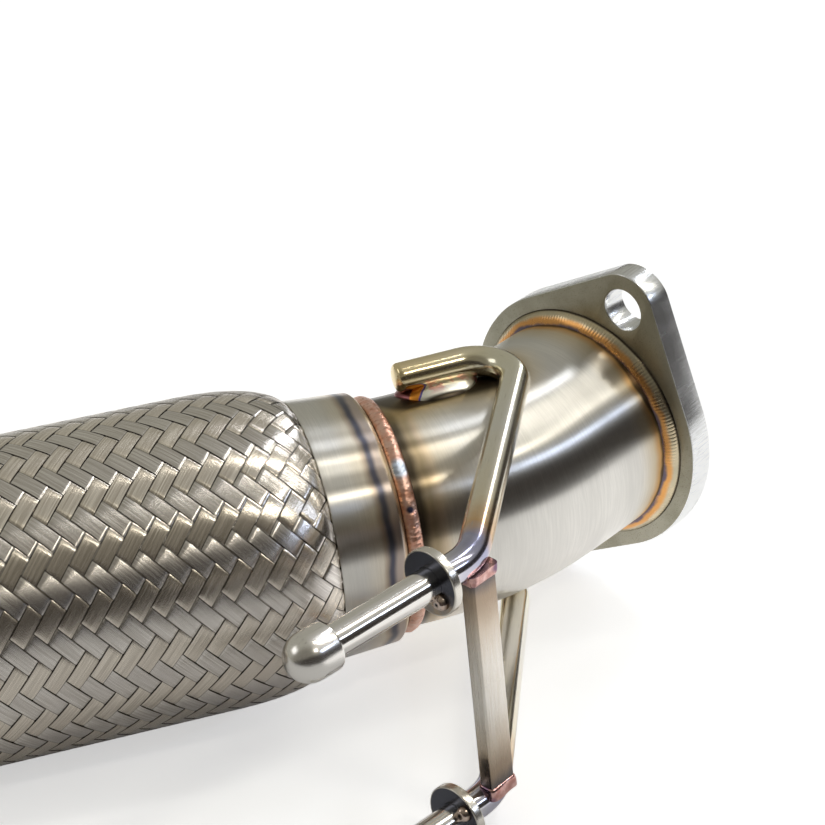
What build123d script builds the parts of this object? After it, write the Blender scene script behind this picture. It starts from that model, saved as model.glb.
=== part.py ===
from build123d import *
from math import atan2, cos, degrees, hypot, pi, radians, sin
import os

# Turbo downpipe: a flanged 3 inch pipe with a short bend, a braided flex section
# and a second flanged pipe, carried by two welded hanger rods that a flat bar ties.
# Frame: the origin is the centre of the outlet flange's sealing face, +X points out
# of that face, the bend lies in the XY plane and turns toward +Y, and +Z is up.

# Pipe and bend
PIPE_OD = 76.2
PIPE_WALL = 1.65
STRAIGHT_LEN = 30.9
BEND_R = 101.6
BEND_ANGLE = 30.0
STUB_LEN = 3.9
INLET_LEN = 46.0

# Two bolt flanges
FLANGE_T = 9.5
FLANGE_LAND = 9.4
FLANGE_LOBE_R = 13.0
BOLT_CIRCLE = 106.0
BOLT_HOLE_D = 14.5
FLANGE_CHAMFER = 0.6
OUTLET_CLOCK = 110.0
INLET_CLOCK = 0.0
PIPE_SETBACK = 2.5
SLIP_GAP = 0.1

# Welds
TOE_ON_FLANGE = 4.15
TOE_ON_PIPE = 3.9
BEAD_CROWN = 0.5
ROOT_FILLET = 1.5
BUTT_GAP = 1.4
BUTT_WIDTH = 5.6
BUTT_CROWN = 1.6

# Flex collars
COLLAR_LEN = 25.3
COLLAR_SHOULDER = 3.2
COLLAR_FLARE = 1.5
COLLAR_WALL = 1.5
LINER_SEAT = 1.25

# Flex section
BRAID_LEN = 145.0
BRAID_SWELL = 8.2
BRAID_WALL = 1.7
TAIL_SETBACK = 3.1
BRAID_SHOULDER = 36.0
STRIPS = 36
CROSSINGS = 40
WEAVE_RISE = 0.9
BELLOWS_WALL = 0.6
BELLOWS_DEPTH = 6.6
BELLOWS_COUNT = 13
CUFF_PAST_LIP = 11.9
LINER_WALL = 1.2
LINER_GROOVE = 0.5
LINER_BANDS = 11

# Hanger rods, in the planes that touch the pipe above and below
ROD_D = 10.0
KNEE_BEND_R = 13.0
ELBOW_BEND_R = 22.0
UPPER_END_X = 10.4
UPPER_END_Y = 6.9
UPPER_KNEE_X = 1.1
UPPER_KNEE_Y = 0.4
LOWER_END_X = 6.9
LOWER_END_Y = 8.8
LOWER_KNEE_X = -2.4
LOWER_KNEE_Y = 2.35
UPPER_ELBOW_X = -104.0
UPPER_ELBOW_Y = -67.2
LOWER_ELBOW_X = -101.7
LOWER_ELBOW_Y = -69.8
TIP_LEG_LEN = 56.3
TIP_LEG_ANGLE = 176.3
HEAD_D = 15.0
HEAD_LEN = 15.5
HEAD_NECK = 1.2

# Hanger welds, stop discs and brace
HANGER_WELD_LEN = 34.0
HANGER_WELD_W = 17.0
HANGER_WELD_H = 3.4
DISC_D = 21.0
DISC_T = 3.0
DISC_PLACE = 15.8
TACK_R = 2.6
TACK_ANGLE = 223.0
BAR_W = 10.5
BAR_T = 5.2
BAR_EDGE_R = 1.0
BAR_OFFSET_X = -0.3
BAR_OFFSET_Y = -2.1
BAR_COPE = 2.8
BRACE_BEAD = 1.6
BRACE_BEAD_H = 4.0
BRACE_BEAD_SINK = 1.0

PIPE_R = PIPE_OD / 2
BORE_R = PIPE_R - PIPE_WALL
ROD_R = ROD_D / 2
ROD_Z = PIPE_R + ROD_R
FLANGE_BODY_R = PIPE_R + FLANGE_LAND
FLEX_LEN = 2 * COLLAR_LEN + BRAID_LEN
LINER_R = BORE_R + LINER_SEAT
CUFF_R = LINER_R + SLIP_GAP + BELLOWS_WALL
TAIL_R = CUFF_R + SLIP_GAP + BRAID_WALL
CAVITY_R = TAIL_R + SLIP_GAP
COLLAR_R = CAVITY_R + COLLAR_WALL
COLLAR_LIP_R = COLLAR_R + COLLAR_FLARE
BEND_START = -(FLANGE_T + STRAIGHT_LEN)
BEND_END = Vector(
    BEND_START - BEND_R * sin(radians(BEND_ANGLE)),
    BEND_R * (1 - cos(radians(BEND_ANGLE))),
    0,
)
FLOW = Vector(-cos(radians(BEND_ANGLE)), sin(radians(BEND_ANGLE)), 0)


def along(distance, direction):
    """Plane on the flex axis, a distance past the bend, facing up or down the axis."""
    return Plane(origin=BEND_END + FLOW * distance, x_dir=(0, 0, 1), z_dir=FLOW * direction)


def facing(origin, normal):
    """Plane of a flange's sealing face, with its local X level and its local Y up."""
    return Plane(origin=origin, x_dir=(-normal.Y, normal.X, 0), z_dir=normal)


FLEX_START = STUB_LEN + BUTT_GAP
FLEX_END = FLEX_START + FLEX_LEN
INLET_FACE = FLEX_END + BUTT_GAP + INLET_LEN + FLANGE_T
OUTLET_PLANE = facing(Vector(0, 0, 0), Vector(1, 0, 0))
INLET_PLANE = facing(BEND_END + FLOW * INLET_FACE, FLOW)
COLLAR_PLANES = {"outlet": along(FLEX_START, 1), "inlet": along(FLEX_END, -1)}


def turned(points):
    """Ring or tube whose half section, as radius and height, turns about local Z."""
    section = make_face(Polyline(*[(r, 0, z) for r, z in points], close=True))
    return revolve(section, Axis.Z, 360)


def tube(outer, inner, low, high):
    """Plain tube between two heights."""
    return turned([(inner, low), (outer, low), (outer, high), (inner, high)])


# Pipes and flanges
def outlet_pipe():
    """Straight, bend and short stub in one piece of bent tube."""
    start = Vector(-PIPE_SETBACK, 0, 0)
    straight = Line(start, (BEND_START, 0, 0))
    bend = JernArc(start=straight @ 1, tangent=(-1, 0, 0), radius=BEND_R, arc_size=-BEND_ANGLE)
    stub = Line(bend @ 1, BEND_END + FLOW * STUB_LEN)
    section = Plane(origin=start, z_dir=(-1, 0, 0)) * (Circle(PIPE_R) - Circle(BORE_R))
    return sweep(section, path=straight + bend + stub)


def pipe_fill():
    """The pipe's outer form with no bore, to trim what is welded onto it."""
    straight = Line((-PIPE_SETBACK, 0, 0), (BEND_START, 0, 0))
    bend = JernArc(start=straight @ 1, tangent=(-1, 0, 0), radius=BEND_R, arc_size=-BEND_ANGLE)
    stub = Line(bend @ 1, BEND_END + FLOW * FLEX_START)
    section = Plane(origin=straight @ 0, z_dir=(-1, 0, 0)) * Circle(PIPE_R)
    return sweep(section, path=straight + bend + stub)


def inlet_pipe():
    """Straight pipe from the far collar into the inlet flange."""
    low = -(BUTT_GAP + INLET_LEN + FLANGE_T - PIPE_SETBACK)
    return COLLAR_PLANES["inlet"] * tube(PIPE_R, BORE_R, low, -BUTT_GAP)


def flange(plane, clock):
    """Diamond plate with two bolt holes, bored for the pipe."""
    lobes = [Pos(side * BOLT_CIRCLE / 2, 0) * Circle(FLANGE_LOBE_R) for side in (-1, 1)]
    edges = Circle(FLANGE_BODY_R).edges() + lobes[0].edges() + lobes[1].edges()
    plate = extrude(make_hull(edges), -FLANGE_T)
    rims = plate.edges().group_by(Axis.Z)
    plate = chamfer(rims[0] + rims[-1], FLANGE_CHAMFER)
    plate -= Pos(0, 0, -FLANGE_T / 2) * Cylinder(PIPE_R + SLIP_GAP, 2 * FLANGE_T)
    for side in (-1, 1):
        plate -= Pos(side * BOLT_CIRCLE / 2, 0, -FLANGE_T / 2) * Cylinder(BOLT_HOLE_D / 2, 2 * FLANGE_T)
    return plane * (Rot(0, 0, clock) * plate)


def flange_weld(plane):
    """Slightly crowned fillet bead between the flange's back face and the pipe."""
    toe = (PIPE_R + TOE_ON_FLANGE, -FLANGE_T)
    end = (PIPE_R, -FLANGE_T - TOE_ON_PIPE)
    slope = hypot(TOE_ON_FLANGE, TOE_ON_PIPE)
    crown = (
        (toe[0] + end[0]) / 2 + BEAD_CROWN * TOE_ON_PIPE / slope,
        (toe[1] + end[1]) / 2 - BEAD_CROWN * TOE_ON_FLANGE / slope,
    )
    return plane * turned([(PIPE_R, -FLANGE_T), toe, crown, end])


def flange_root_weld(plane):
    """Small seal bead between the pipe's end and the flange bore."""
    bore = PIPE_R + SLIP_GAP
    return plane * turned([
        (bore - ROOT_FILLET, -PIPE_SETBACK),
        (bore, -PIPE_SETBACK),
        (bore, -PIPE_SETBACK + ROOT_FILLET),
    ])


def butt_weld(plane):
    """Full depth bead between a pipe end and a collar, crowned on the outside."""
    half = BUTT_WIDTH / 2
    middle = -BUTT_GAP / 2
    return plane * turned([
        (BORE_R, -BUTT_GAP),
        (PIPE_R, -BUTT_GAP),
        (PIPE_R, middle - half),
        (PIPE_R + 0.8 * BUTT_CROWN, middle - half / 2),
        (PIPE_R + BUTT_CROWN, middle),
        (PIPE_R + 0.8 * BUTT_CROWN, middle + half / 2),
        (PIPE_R, middle + half),
        (PIPE_R, 0),
        (BORE_R, 0),
    ])


# Flex section
def collar(plane):
    """Pressed end cap: a neck that matches the pipe, a shoulder and a flared skirt."""
    rounding = (COLLAR_R - PIPE_R) / 4
    return plane * turned([
        (BORE_R, 0),
        (PIPE_R, 0),
        (PIPE_R, (BUTT_WIDTH - BUTT_GAP) / 2),
        (COLLAR_R - rounding, COLLAR_SHOULDER),
        (COLLAR_R, COLLAR_SHOULDER + rounding),
        (COLLAR_LIP_R, COLLAR_LEN),
        (COLLAR_LIP_R - COLLAR_WALL / 2, COLLAR_LEN),
        (CAVITY_R, COLLAR_LEN / 2),
        (CAVITY_R, COLLAR_SHOULDER),
        (BORE_R, COLLAR_SHOULDER),
    ])


def sleeve_radius(z):
    """Outside of the braid between the collars: from the lip it swells to a long barrel."""
    lip = COLLAR_LIP_R - COLLAR_WALL / 2 - SLIP_GAP
    past_lip = min(z, FLEX_LEN - z) - COLLAR_LEN
    step = min(1, max(0, past_lip / BRAID_SHOULDER))
    rise = (1 - (1 - step) ** 2.5) ** 0.6
    return lip + (COLLAR_LIP_R + BRAID_SWELL - lip) * rise


def sleeve_point(half_step, z, radius):
    """Point on the sleeve, counted round it in halves of a strip's spacing."""
    angle = pi * half_step / STRIPS
    return (radius * cos(angle), radius * sin(angle), z)


def weave_height(column):
    """Place along the flex axis of a column of crossings."""
    return COLLAR_LEN + BRAID_LEN * column / CROSSINGS


def low_point(half_step, column):
    """Corner of a strip, where it dives under its neighbour."""
    z = weave_height(column)
    return sleeve_point(half_step, z, sleeve_radius(z) - WEAVE_RISE)


def pad(outline, half_step, column):
    """Hipped pad: triangles from an outline of low points up to one high point."""
    z = weave_height(column)
    top = sleeve_point(half_step, z, sleeve_radius(z))
    corners = [low_point(*corner) for corner in outline]
    return [
        Face(Wire.make_polygon([a, b, top]))
        for a, b in zip(corners, corners[1:] + corners[:1])
    ]


def float_pad(m, k, lean):
    """Pad of a strip that passes over two others, leaning one way or the other."""
    near = [(m - lean, k), (m, k - 1), (m + lean, k)]
    far = [(m + 2 * lean, k + 1), (m + lean, k + 2), (m, k + 1)]
    return pad(near + far, m + lean / 2, k + 0.5)


def cut_pad(m, k):
    """Pad of a strip that a collar cuts off after one crossing."""
    return pad([(m - 1, k), (m, k - 1), (m + 1, k), (m, k + 1)], m, k)


def weave():
    """Two over two weave of both hands of strips, with half crossings at its ends."""
    faces = []
    for m in range(2 * STRIPS):
        lean = {0: 1, 3: -1}.get(m % 4)
        for k in range(CROSSINGS):
            if (m + k) % 2:
                continue
            if lean and 0 < k < CROSSINGS - 1:
                faces += float_pad(m, k, lean)
            elif (lean and k == CROSSINGS - 1) or (lean is None and k == 1):
                faces += cut_pad(m, k)
        if m % 2 == 0:
            for k, inner in ((0, 1), (CROSSINGS, CROSSINGS - 1)):
                corners = [low_point(m - 1, k), low_point(m + 1, k), low_point(m, inner)]
                faces.append(Face(Wire.make_polygon(corners)))
    return faces


def band(low, high):
    """Flat facets between two rings, each given as a height and a radius."""
    faces = []
    for m in range(1, 2 * STRIPS, 2):
        corners = [sleeve_point(m, *low), sleeve_point(m + 2, *low)]
        corners += [sleeve_point(m + 2, *high), sleeve_point(m, *high)]
        faces.append(Face(Wire.make_polygon(corners)))
    return faces


def sleeve_lining():
    """Rings of the braid's inside and of its tails, from one lip round to the other."""
    flat = cos(pi / STRIPS)
    tail_in = (CUFF_R + SLIP_GAP) / flat
    tail = [(COLLAR_LEN, sleeve_radius(COLLAR_LEN) - WEAVE_RISE), (COLLAR_LEN / 2, TAIL_R)]
    tail += [(COLLAR_SHOULDER + TAIL_SETBACK, TAIL_R), (COLLAR_SHOULDER + TAIL_SETBACK, tail_in)]
    tail.append((COLLAR_LEN / 2, tail_in))
    heights = [weave_height(column) for column in range(0, CROSSINGS + 1, 4)]
    inside = [(z, sleeve_radius(z) - WEAVE_RISE - BRAID_WALL) for z in heights]
    return tail + inside + [(FLEX_LEN - z, r) for z, r in reversed(tail)]


def braid():
    """Barrel shaped woven sleeve whose tails sit inside both collars."""
    rings = sleeve_lining()
    faces = weave()
    for low, high in zip(rings, rings[1:]):
        faces += band(low, high)
    return COLLAR_PLANES["outlet"] * Solid(Shell(faces))


def bellows():
    """Corrugated gas tight tube with a plain cuff at each end."""
    start = COLLAR_LEN + CUFF_PAST_LIP
    pitch = (FLEX_LEN - 2 * start) / BELLOWS_COUNT
    outside = [(CUFF_R, COLLAR_SHOULDER)]
    for turn in range(BELLOWS_COUNT):
        low = start + turn * pitch
        outside.append((CUFF_R, low))
        outside.append((CUFF_R + BELLOWS_DEPTH, low + 0.3 * pitch))
        outside.append((CUFF_R + BELLOWS_DEPTH, low + 0.6 * pitch))
        outside.append((CUFF_R, low + 0.9 * pitch))
    outside.append((CUFF_R, FLEX_LEN - COLLAR_SHOULDER))
    inside = [(r - BELLOWS_WALL, z) for r, z in reversed(outside)]
    return COLLAR_PLANES["outlet"] * turned(outside + inside)


def interlock_liner():
    """Banded inner tube that keeps the gas off the bellows."""
    length = FLEX_LEN - 2 * COLLAR_SHOULDER
    band = length / LINER_BANDS
    outside = []
    for turn in range(LINER_BANDS):
        low = COLLAR_SHOULDER + turn * band
        outside.append((LINER_R, low))
        outside.append((LINER_R, low + 0.8 * band))
        if turn < LINER_BANDS - 1:
            outside.append((LINER_R - LINER_GROOVE, low + 0.85 * band))
            outside.append((LINER_R - LINER_GROOVE, low + 0.95 * band))
    outside.append((LINER_R, FLEX_LEN - COLLAR_SHOULDER))
    inside = [(LINER_R - LINER_WALL, FLEX_LEN - COLLAR_SHOULDER), (LINER_R - LINER_WALL, COLLAR_SHOULDER)]
    return COLLAR_PLANES["outlet"] * turned(outside + inside)


# Hanger rods
UPPER_END = (BEND_END.X + UPPER_END_X, BEND_END.Y + UPPER_END_Y)
LOWER_END = (BEND_END.X + LOWER_END_X, BEND_END.Y + LOWER_END_Y)
UPPER_KNEE = (BEND_START + UPPER_KNEE_X, UPPER_KNEE_Y)
LOWER_KNEE = (BEND_START + LOWER_KNEE_X, LOWER_KNEE_Y)
ELBOWS = {
    1: Vector(BEND_START + UPPER_ELBOW_X, UPPER_ELBOW_Y, ROD_Z),
    -1: Vector(BEND_START + LOWER_ELBOW_X, LOWER_ELBOW_Y, -ROD_Z),
}
TIP_WAY = Vector(cos(radians(TIP_LEG_ANGLE)), sin(radians(TIP_LEG_ANGLE)), 0)


def tip_plane(distance, side):
    """Plane across a rod's last leg, a distance past its elbow. Side is 1 above, -1 below."""
    level = (TIP_WAY.Y, -TIP_WAY.X, 0)
    return Plane(origin=ELBOWS[side] + TIP_WAY * distance, x_dir=level, z_dir=TIP_WAY)


def rod_head():
    """Domed head that keeps the hanger rubber on the rod."""
    dome = HEAD_D / 2
    top = HEAD_LEN - dome
    neck = Polyline((0, 0, HEAD_LEN), (0, 0, 0), (ROD_R, 0, 0), (dome, 0, HEAD_NECK), (dome, 0, top))
    shoulder = (dome * cos(pi / 4), 0, top + dome * sin(pi / 4))
    cap = ThreePointArc((dome, 0, top), shoulder, (0, 0, HEAD_LEN))
    return revolve(make_face(neck + cap), Axis.Z, 360)


def bent_rod(end, knee, side):
    """Round bar with two bends, from its welded end to its head's shoulder."""
    points = [(x, y, side * ROD_Z) for x, y in (end, knee)]
    points += [ELBOWS[side], ELBOWS[side] + TIP_WAY * TIP_LEG_LEN]
    path = FilletPolyline(*points, radius=[KNEE_BEND_R, ELBOW_BEND_R])
    section = Plane(origin=path @ 0, z_dir=path % 0) * Circle(ROD_R)
    return sweep(section, path=path)


def hanger_weld(end, knee, side, trims):
    """Fillets on both sides of the rod's first leg, run down onto the pipe."""
    base = PIPE_R - HANGER_WELD_W / 4
    top = ROD_Z - ROD_R + HANGER_WELD_H
    width = HANGER_WELD_W / 2
    heading = degrees(atan2(knee[1] - end[1], knee[0] - end[0]))
    section = Plane.YZ * make_face(
        Polyline((-width, base), (width, base), (ROD_R, top), (-ROD_R, top), close=True)
    )
    slug = extrude(section, HANGER_WELD_LEN)
    slug = Pos(end[0], end[1], 0) * (Rot(0, 0, heading) * slug)
    slug = slug if side > 0 else mirror(slug, Plane.XY)
    for trim in trims:
        slug -= trim
    return slug


def stop_disc(side):
    """Washer that sits on the rod just past its elbow."""
    ring = Cylinder(DISC_D / 2, DISC_T) - Cylinder(ROD_R + SLIP_GAP, 2 * DISC_T)
    return tip_plane(DISC_PLACE, side) * ring


def disc_tack(side):
    """Round tack weld between the rod and the disc's outer face."""
    angle = radians(TACK_ANGLE) * side
    reach = ROD_R + TACK_R / 2
    place = tip_plane(DISC_PLACE + DISC_T / 2, side)
    blob = place * (Pos(reach * sin(angle), reach * cos(angle), 0) * Sphere(TACK_R))
    below = place * (Pos(0, 0, -TACK_R) * Cylinder(DISC_D, 2 * TACK_R))
    shaft = place * Cylinder(ROD_R, 4 * TACK_R)
    return blob - below - shaft


# Brace
def bar_plane(side, depth):
    """Plane across the flat bar, a depth from the rod at one end, facing that rod. The bar's own
    middle line runs beside both elbows, so it leans as they do."""
    offset = Vector(BAR_OFFSET_X, BAR_OFFSET_Y, 0)
    way = (ELBOWS[side] - ELBOWS[-side]).normalized()
    return Plane(origin=ELBOWS[side] + offset - way * depth, x_dir=(1, 0, 0), z_dir=way)


def brace_bar(rods):
    """Flat bar between the two rods, coped to fit them."""
    length = (ELBOWS[1] - ELBOWS[-1]).length - 2 * BAR_COPE
    bar = extrude(RectangleRounded(BAR_W, BAR_T, BAR_EDGE_R), -length)
    return bar_plane(1, BAR_COPE) * bar - rods[0] - rods[1]


def brace_bead(side, rods):
    """Bead around the bar where it meets a rod."""
    base = RectangleRounded(BAR_W + 2 * BRACE_BEAD, BAR_T + 2 * BRACE_BEAD, BAR_EDGE_R + BRACE_BEAD)
    ring = extrude(base, BRACE_BEAD_H)
    ring = chamfer(ring.edges().group_by(Axis.Z)[0], 0.9 * BRACE_BEAD)
    ring -= extrude(RectangleRounded(BAR_W, BAR_T, BAR_EDGE_R), BRACE_BEAD_H)
    return bar_plane(side, ROD_R + BRACE_BEAD_SINK) * ring - rods[0] - rods[1]


def build():
    """Every piece by its name."""
    upper = bent_rod(UPPER_END, UPPER_KNEE, 1)
    lower = bent_rod(LOWER_END, LOWER_KNEE, -1)
    rods = [upper, lower]
    root = [pipe_fill(), butt_weld(COLLAR_PLANES["outlet"])]
    pieces = {
        "outlet_flange": flange(OUTLET_PLANE, OUTLET_CLOCK),
        "outlet_flange_weld": flange_weld(OUTLET_PLANE),
        "outlet_root_weld": flange_root_weld(OUTLET_PLANE),
        "outlet_pipe": outlet_pipe(),
        "inlet_pipe": inlet_pipe(),
        "inlet_flange": flange(INLET_PLANE, INLET_CLOCK),
        "inlet_flange_weld": flange_weld(INLET_PLANE),
        "inlet_root_weld": flange_root_weld(INLET_PLANE),
        "braid": braid(),
        "bellows": bellows(),
        "interlock_liner": interlock_liner(),
        "upper_hanger_rod": upper + tip_plane(TIP_LEG_LEN, 1) * rod_head(),
        "lower_hanger_rod": lower + tip_plane(TIP_LEG_LEN, -1) * rod_head(),
        "upper_hanger_weld": hanger_weld(UPPER_END, UPPER_KNEE, 1, root + [upper]),
        "lower_hanger_weld": hanger_weld(LOWER_END, LOWER_KNEE, -1, root + [lower]),
        "upper_stop_disc": stop_disc(1),
        "lower_stop_disc": stop_disc(-1),
        "upper_disc_tack": disc_tack(1),
        "lower_disc_tack": disc_tack(-1),
        "brace_bar": brace_bar(rods),
        "brace_upper_bead": brace_bead(1, rods),
        "brace_lower_bead": brace_bead(-1, rods),
    }
    for end, plane in COLLAR_PLANES.items():
        pieces[end + "_collar"] = collar(plane)
        pieces[end + "_butt_weld"] = butt_weld(plane)
    return pieces


for name, piece in build().items():
    export_step(piece, "parts/" + name + ".step")
    print(name, round(piece.volume, 1))
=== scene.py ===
import math

import bmesh
import bpy
import numpy as np
from mathutils import Matrix, Vector


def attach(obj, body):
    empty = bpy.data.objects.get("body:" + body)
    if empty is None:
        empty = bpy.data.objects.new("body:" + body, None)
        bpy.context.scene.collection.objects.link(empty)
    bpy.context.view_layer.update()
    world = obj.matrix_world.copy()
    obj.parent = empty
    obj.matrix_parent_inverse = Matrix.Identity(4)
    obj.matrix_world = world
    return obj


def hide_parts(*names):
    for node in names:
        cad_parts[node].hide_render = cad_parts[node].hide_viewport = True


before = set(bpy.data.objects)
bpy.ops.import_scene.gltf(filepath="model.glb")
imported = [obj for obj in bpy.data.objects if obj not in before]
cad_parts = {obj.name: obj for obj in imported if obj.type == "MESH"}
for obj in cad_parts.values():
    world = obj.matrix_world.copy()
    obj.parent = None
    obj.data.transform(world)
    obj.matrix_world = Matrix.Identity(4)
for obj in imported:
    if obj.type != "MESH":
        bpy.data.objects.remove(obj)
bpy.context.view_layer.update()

# Camera
# A long lens looks down on the elbow from the hanger side, turned a little about its own axis.
MM = 0.001
CAMERA_PLACE = (-610.1 * MM, -487.3 * MM, 465.0 * MM)
CAMERA_RIGHT = (0.66403, -0.74600, -0.05049)
CAMERA_UP = (0.41031, 0.30711, 0.85868)
CAMERA_LENS = 113.56
CAMERA_SENSOR = 36.0
CAMERA_FAR = 20.0


def placed(name, data):
    """New object in the scene, from a mesh, a curve, a light or a camera."""
    made = bpy.data.objects.new(name, data)
    bpy.context.scene.collection.objects.link(made)
    return made


camera_data = bpy.data.cameras.new("camera")
camera_data.lens = CAMERA_LENS
camera_data.sensor_width = CAMERA_SENSOR
camera_data.clip_end = CAMERA_FAR
camera = placed("camera", camera_data)
backward = Vector(CAMERA_RIGHT).cross(Vector(CAMERA_UP))
turned = Matrix((CAMERA_RIGHT, CAMERA_UP, backward)).transposed().to_4x4()
camera.matrix_world = Matrix.Translation(CAMERA_PLACE) @ turned
bpy.context.scene.camera = camera
bpy.context.scene.view_settings.view_transform = "Standard"


# Outlet pipe
# 3 inch stainless tube: a straight, a 30 degree bend and a short stub, brushed round its girth.
# It carries straw, gold and dark brown heat tint beside every weld; beside the hanger legs the dark band is
# partly painted reflection.
PIPE_R = 38.1 * MM
BORE_R = 36.45 * MM
PIPE_SETBACK = 2.5 * MM
FLANGE_T = 9.5 * MM
STRAIGHT_LEN = 30.9 * MM
BEND_R = 101.6 * MM
BEND_ANGLE = math.radians(30.0)
STUB_LEN = 3.9 * MM
BUTT_GAP = 1.4 * MM
STEEL = (0.80, 0.775, 0.735)
UP = np.array([0.0, 0.0, 1.0])
EVEN = (1.0, 1.0, 1.0)

bend_start = FLANGE_T + STRAIGHT_LEN
bend_end = bend_start + BEND_R * BEND_ANGLE
flex_start = bend_end + STUB_LEN + BUTT_GAP


def centre_line(s):
    """Centre line at distances s from the outlet's face: straight along -X, then a circular arc that
    turns toward +Y, then straight. Gives the points and the level directions across the line."""
    turn = np.clip((s - bend_start) / BEND_R, 0, BEND_ANGLE)
    past = np.maximum(s - bend_end, 0)
    x = -np.minimum(s, bend_start) - BEND_R * np.sin(turn) - past * math.cos(BEND_ANGLE)
    y = BEND_R * (1 - np.cos(turn)) + past * math.sin(BEND_ANGLE)
    points = np.stack([x, y, np.zeros_like(x)], -1)
    across = np.stack([np.sin(turn), np.cos(turn), np.zeros_like(x)], -1)
    return points, across


def round_line(s, radius, angle):
    """Points round the centre line: at each distance s, radius times cosine of the angle across and
    sine of the angle up. s and radius are grids of rows by columns, angle is one row."""
    points, across = centre_line(s)
    return points + (radius * np.cos(angle))[..., None] * across + (radius * np.sin(angle))[..., None] * UP


def round_off(corners, cut, steps=4):
    """Closed outline through the corners, each one replaced by a quadratic curve that starts and ends
    at the distance cut from it."""
    corners = np.array(corners, float)
    t = np.linspace(0, 1, steps)[:, None]
    curves = []
    for here, before, after in zip(corners, np.roll(corners, 1, 0), np.roll(corners, -1, 0)):
        first = here + (before - here) * cut / max(np.linalg.norm(before - here), 2 * cut)
        last = here + (after - here) * cut / max(np.linalg.norm(after - here), 2 * cut)
        curves.append((1 - t) ** 2 * first + 2 * t * (1 - t) * here + t**2 * last)
    return np.concatenate(curves)


def refine(outline, step):
    """Closed outline with extra points, so that no two neighbours are more than step apart."""
    runs = []
    for here, after in zip(outline, np.roll(outline, -1, 0)):
        count = max(1, math.ceil(np.linalg.norm(after - here) / step))
        runs.append(here + (after - here) * np.arange(count)[:, None] / count)
    return np.concatenate(runs)


def full_turn(count):
    """Angles of a full turn in equal steps, by their count."""
    return np.linspace(0, 2 * np.pi, count, endpoint=False)


def corner_grid(rows, columns):
    """Rows and columns of the four corners of each face, for a grid of rows by columns of faces."""
    row, column = np.meshgrid(np.arange(rows), np.arange(columns), indexing="ij")
    row, column = row.ravel(), column.ravel()
    return np.stack([row, row + 1, row + 1, row], -1), np.stack([column, column, column + 1, column + 1], -1)


def laid_straight(s, radius, angle):
    """Places on a round piece laid out straight: distance along it, then cosine and sine across it."""
    return np.stack(np.broadcast_arrays(s, radius * np.cos(angle), radius * np.sin(angle)), -1)


def flow_round(run, columns, radius):
    """UV grid of a round piece: the distance along it by rows and the distance round it by columns."""
    turn = np.linspace(0, 2 * np.pi, columns + 1)
    return np.stack(np.broadcast_arrays(run[:, None], turn[None, :] * radius), -1)


def face_out(mesh, merge=0.0):
    """Turns a mesh's faces outwards, after its points nearer than merge are made one."""
    form = bmesh.new()
    form.from_mesh(mesh)
    if merge:
        bmesh.ops.remove_doubles(form, verts=form.verts, dist=merge)
    bmesh.ops.recalc_face_normals(form, faces=form.faces)
    form.to_mesh(mesh)
    form.free()


def mesh_piece(name, points, faces, uv, straight, sharp):
    """Piece from its points and faces, smooth up to a sharp angle in degrees. uv becomes the UV map.
    straight is each point's place on the same piece laid out straight, kept as an attribute."""
    mesh = bpy.data.meshes.new(name)
    mesh.from_pydata(points.reshape(-1, 3).tolist(), [], faces)
    mesh.uv_layers.new(name="flow").data.foreach_set("uv", uv.astype(np.float32).ravel())
    layout = mesh.attributes.new("straight", "FLOAT_VECTOR", "POINT")
    layout.data.foreach_set("vector", straight.astype(np.float32).ravel())
    face_out(mesh)
    mesh.shade_smooth()
    mesh.set_sharp_from_angle(angle=math.radians(sharp))
    return placed(name, mesh)


def skin(name, points, flow, straight, capped=False, sharp=35):
    """Piece from a grid of points, with a face between each four neighbours. Its columns close to a
    ring, and so do its rows, unless it is capped at both ends. flow is each grid point's distance along
    and round the piece, one row and column longer where it wraps."""
    rows, columns = points.shape[:2]
    corner_rows, corner_columns = corner_grid(rows - 1 if capped else rows, columns)
    faces = ((corner_rows % rows) * columns + corner_columns % columns).tolist()
    uv = flow[corner_rows, corner_columns].reshape(-1, 2)
    if capped:
        ends = np.arange(columns)
        faces += [ends.tolist(), (ends + (rows - 1) * columns).tolist()]
        uv = np.concatenate([uv, flow[0, :columns], flow[-1, :columns]])
    return mesh_piece(name, points, faces, uv, straight, sharp)


def girdle(name, outline, columns, ripple=None, sharp=35):
    """Closed ring or tube: an outline of (distance along the line, radius) carried round it, with an
    optional ripple(s, angle) added to the radius of the grid."""
    angle = full_turn(columns)
    s = np.repeat(outline[:, :1], columns, 1)
    radius = np.repeat(outline[:, 1:], columns, 1)
    if ripple:
        radius = radius + ripple(s, angle[None, :])
    flow = flow_round(np.append(outline[:, 0], outline[0, 0]), columns, PIPE_R)
    return skin(name, round_line(s, radius, angle), flow, laid_straight(s, radius, angle), sharp=sharp)


def node(tree, kind, settings=None, **sockets):
    """Adds a node, makes its settings, and links or sets each socket that is named."""
    made = tree.nodes.new(kind)
    for name, value in (settings or {}).items():
        setattr(made, name, value)
    for name, value in sockets.items():
        socket = made.inputs[int(name[1:])] if name[0] == "_" else made.inputs[name.replace("_", " ")]
        if isinstance(value, bpy.types.NodeSocket):
            tree.links.new(value, socket)
        else:
            socket.default_value = value
    return made


def sums(tree, operation, first, second=0.0, third=0.0):
    """Arithmetic on numbers, as a socket."""
    settings = {"operation": operation}
    return node(tree, "ShaderNodeMath", settings, _0=first, _1=second, _2=third).outputs[0]


def plus(tree, first, second):
    """Sum of two numbers."""
    return sums(tree, "ADD", first, second)


def minus(tree, first, second):
    """First number less the second."""
    return sums(tree, "SUBTRACT", first, second)


def times(tree, first, second, added=0.0):
    """Product of two numbers, with a third added."""
    return sums(tree, "MULTIPLY_ADD", first, second, added)


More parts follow.
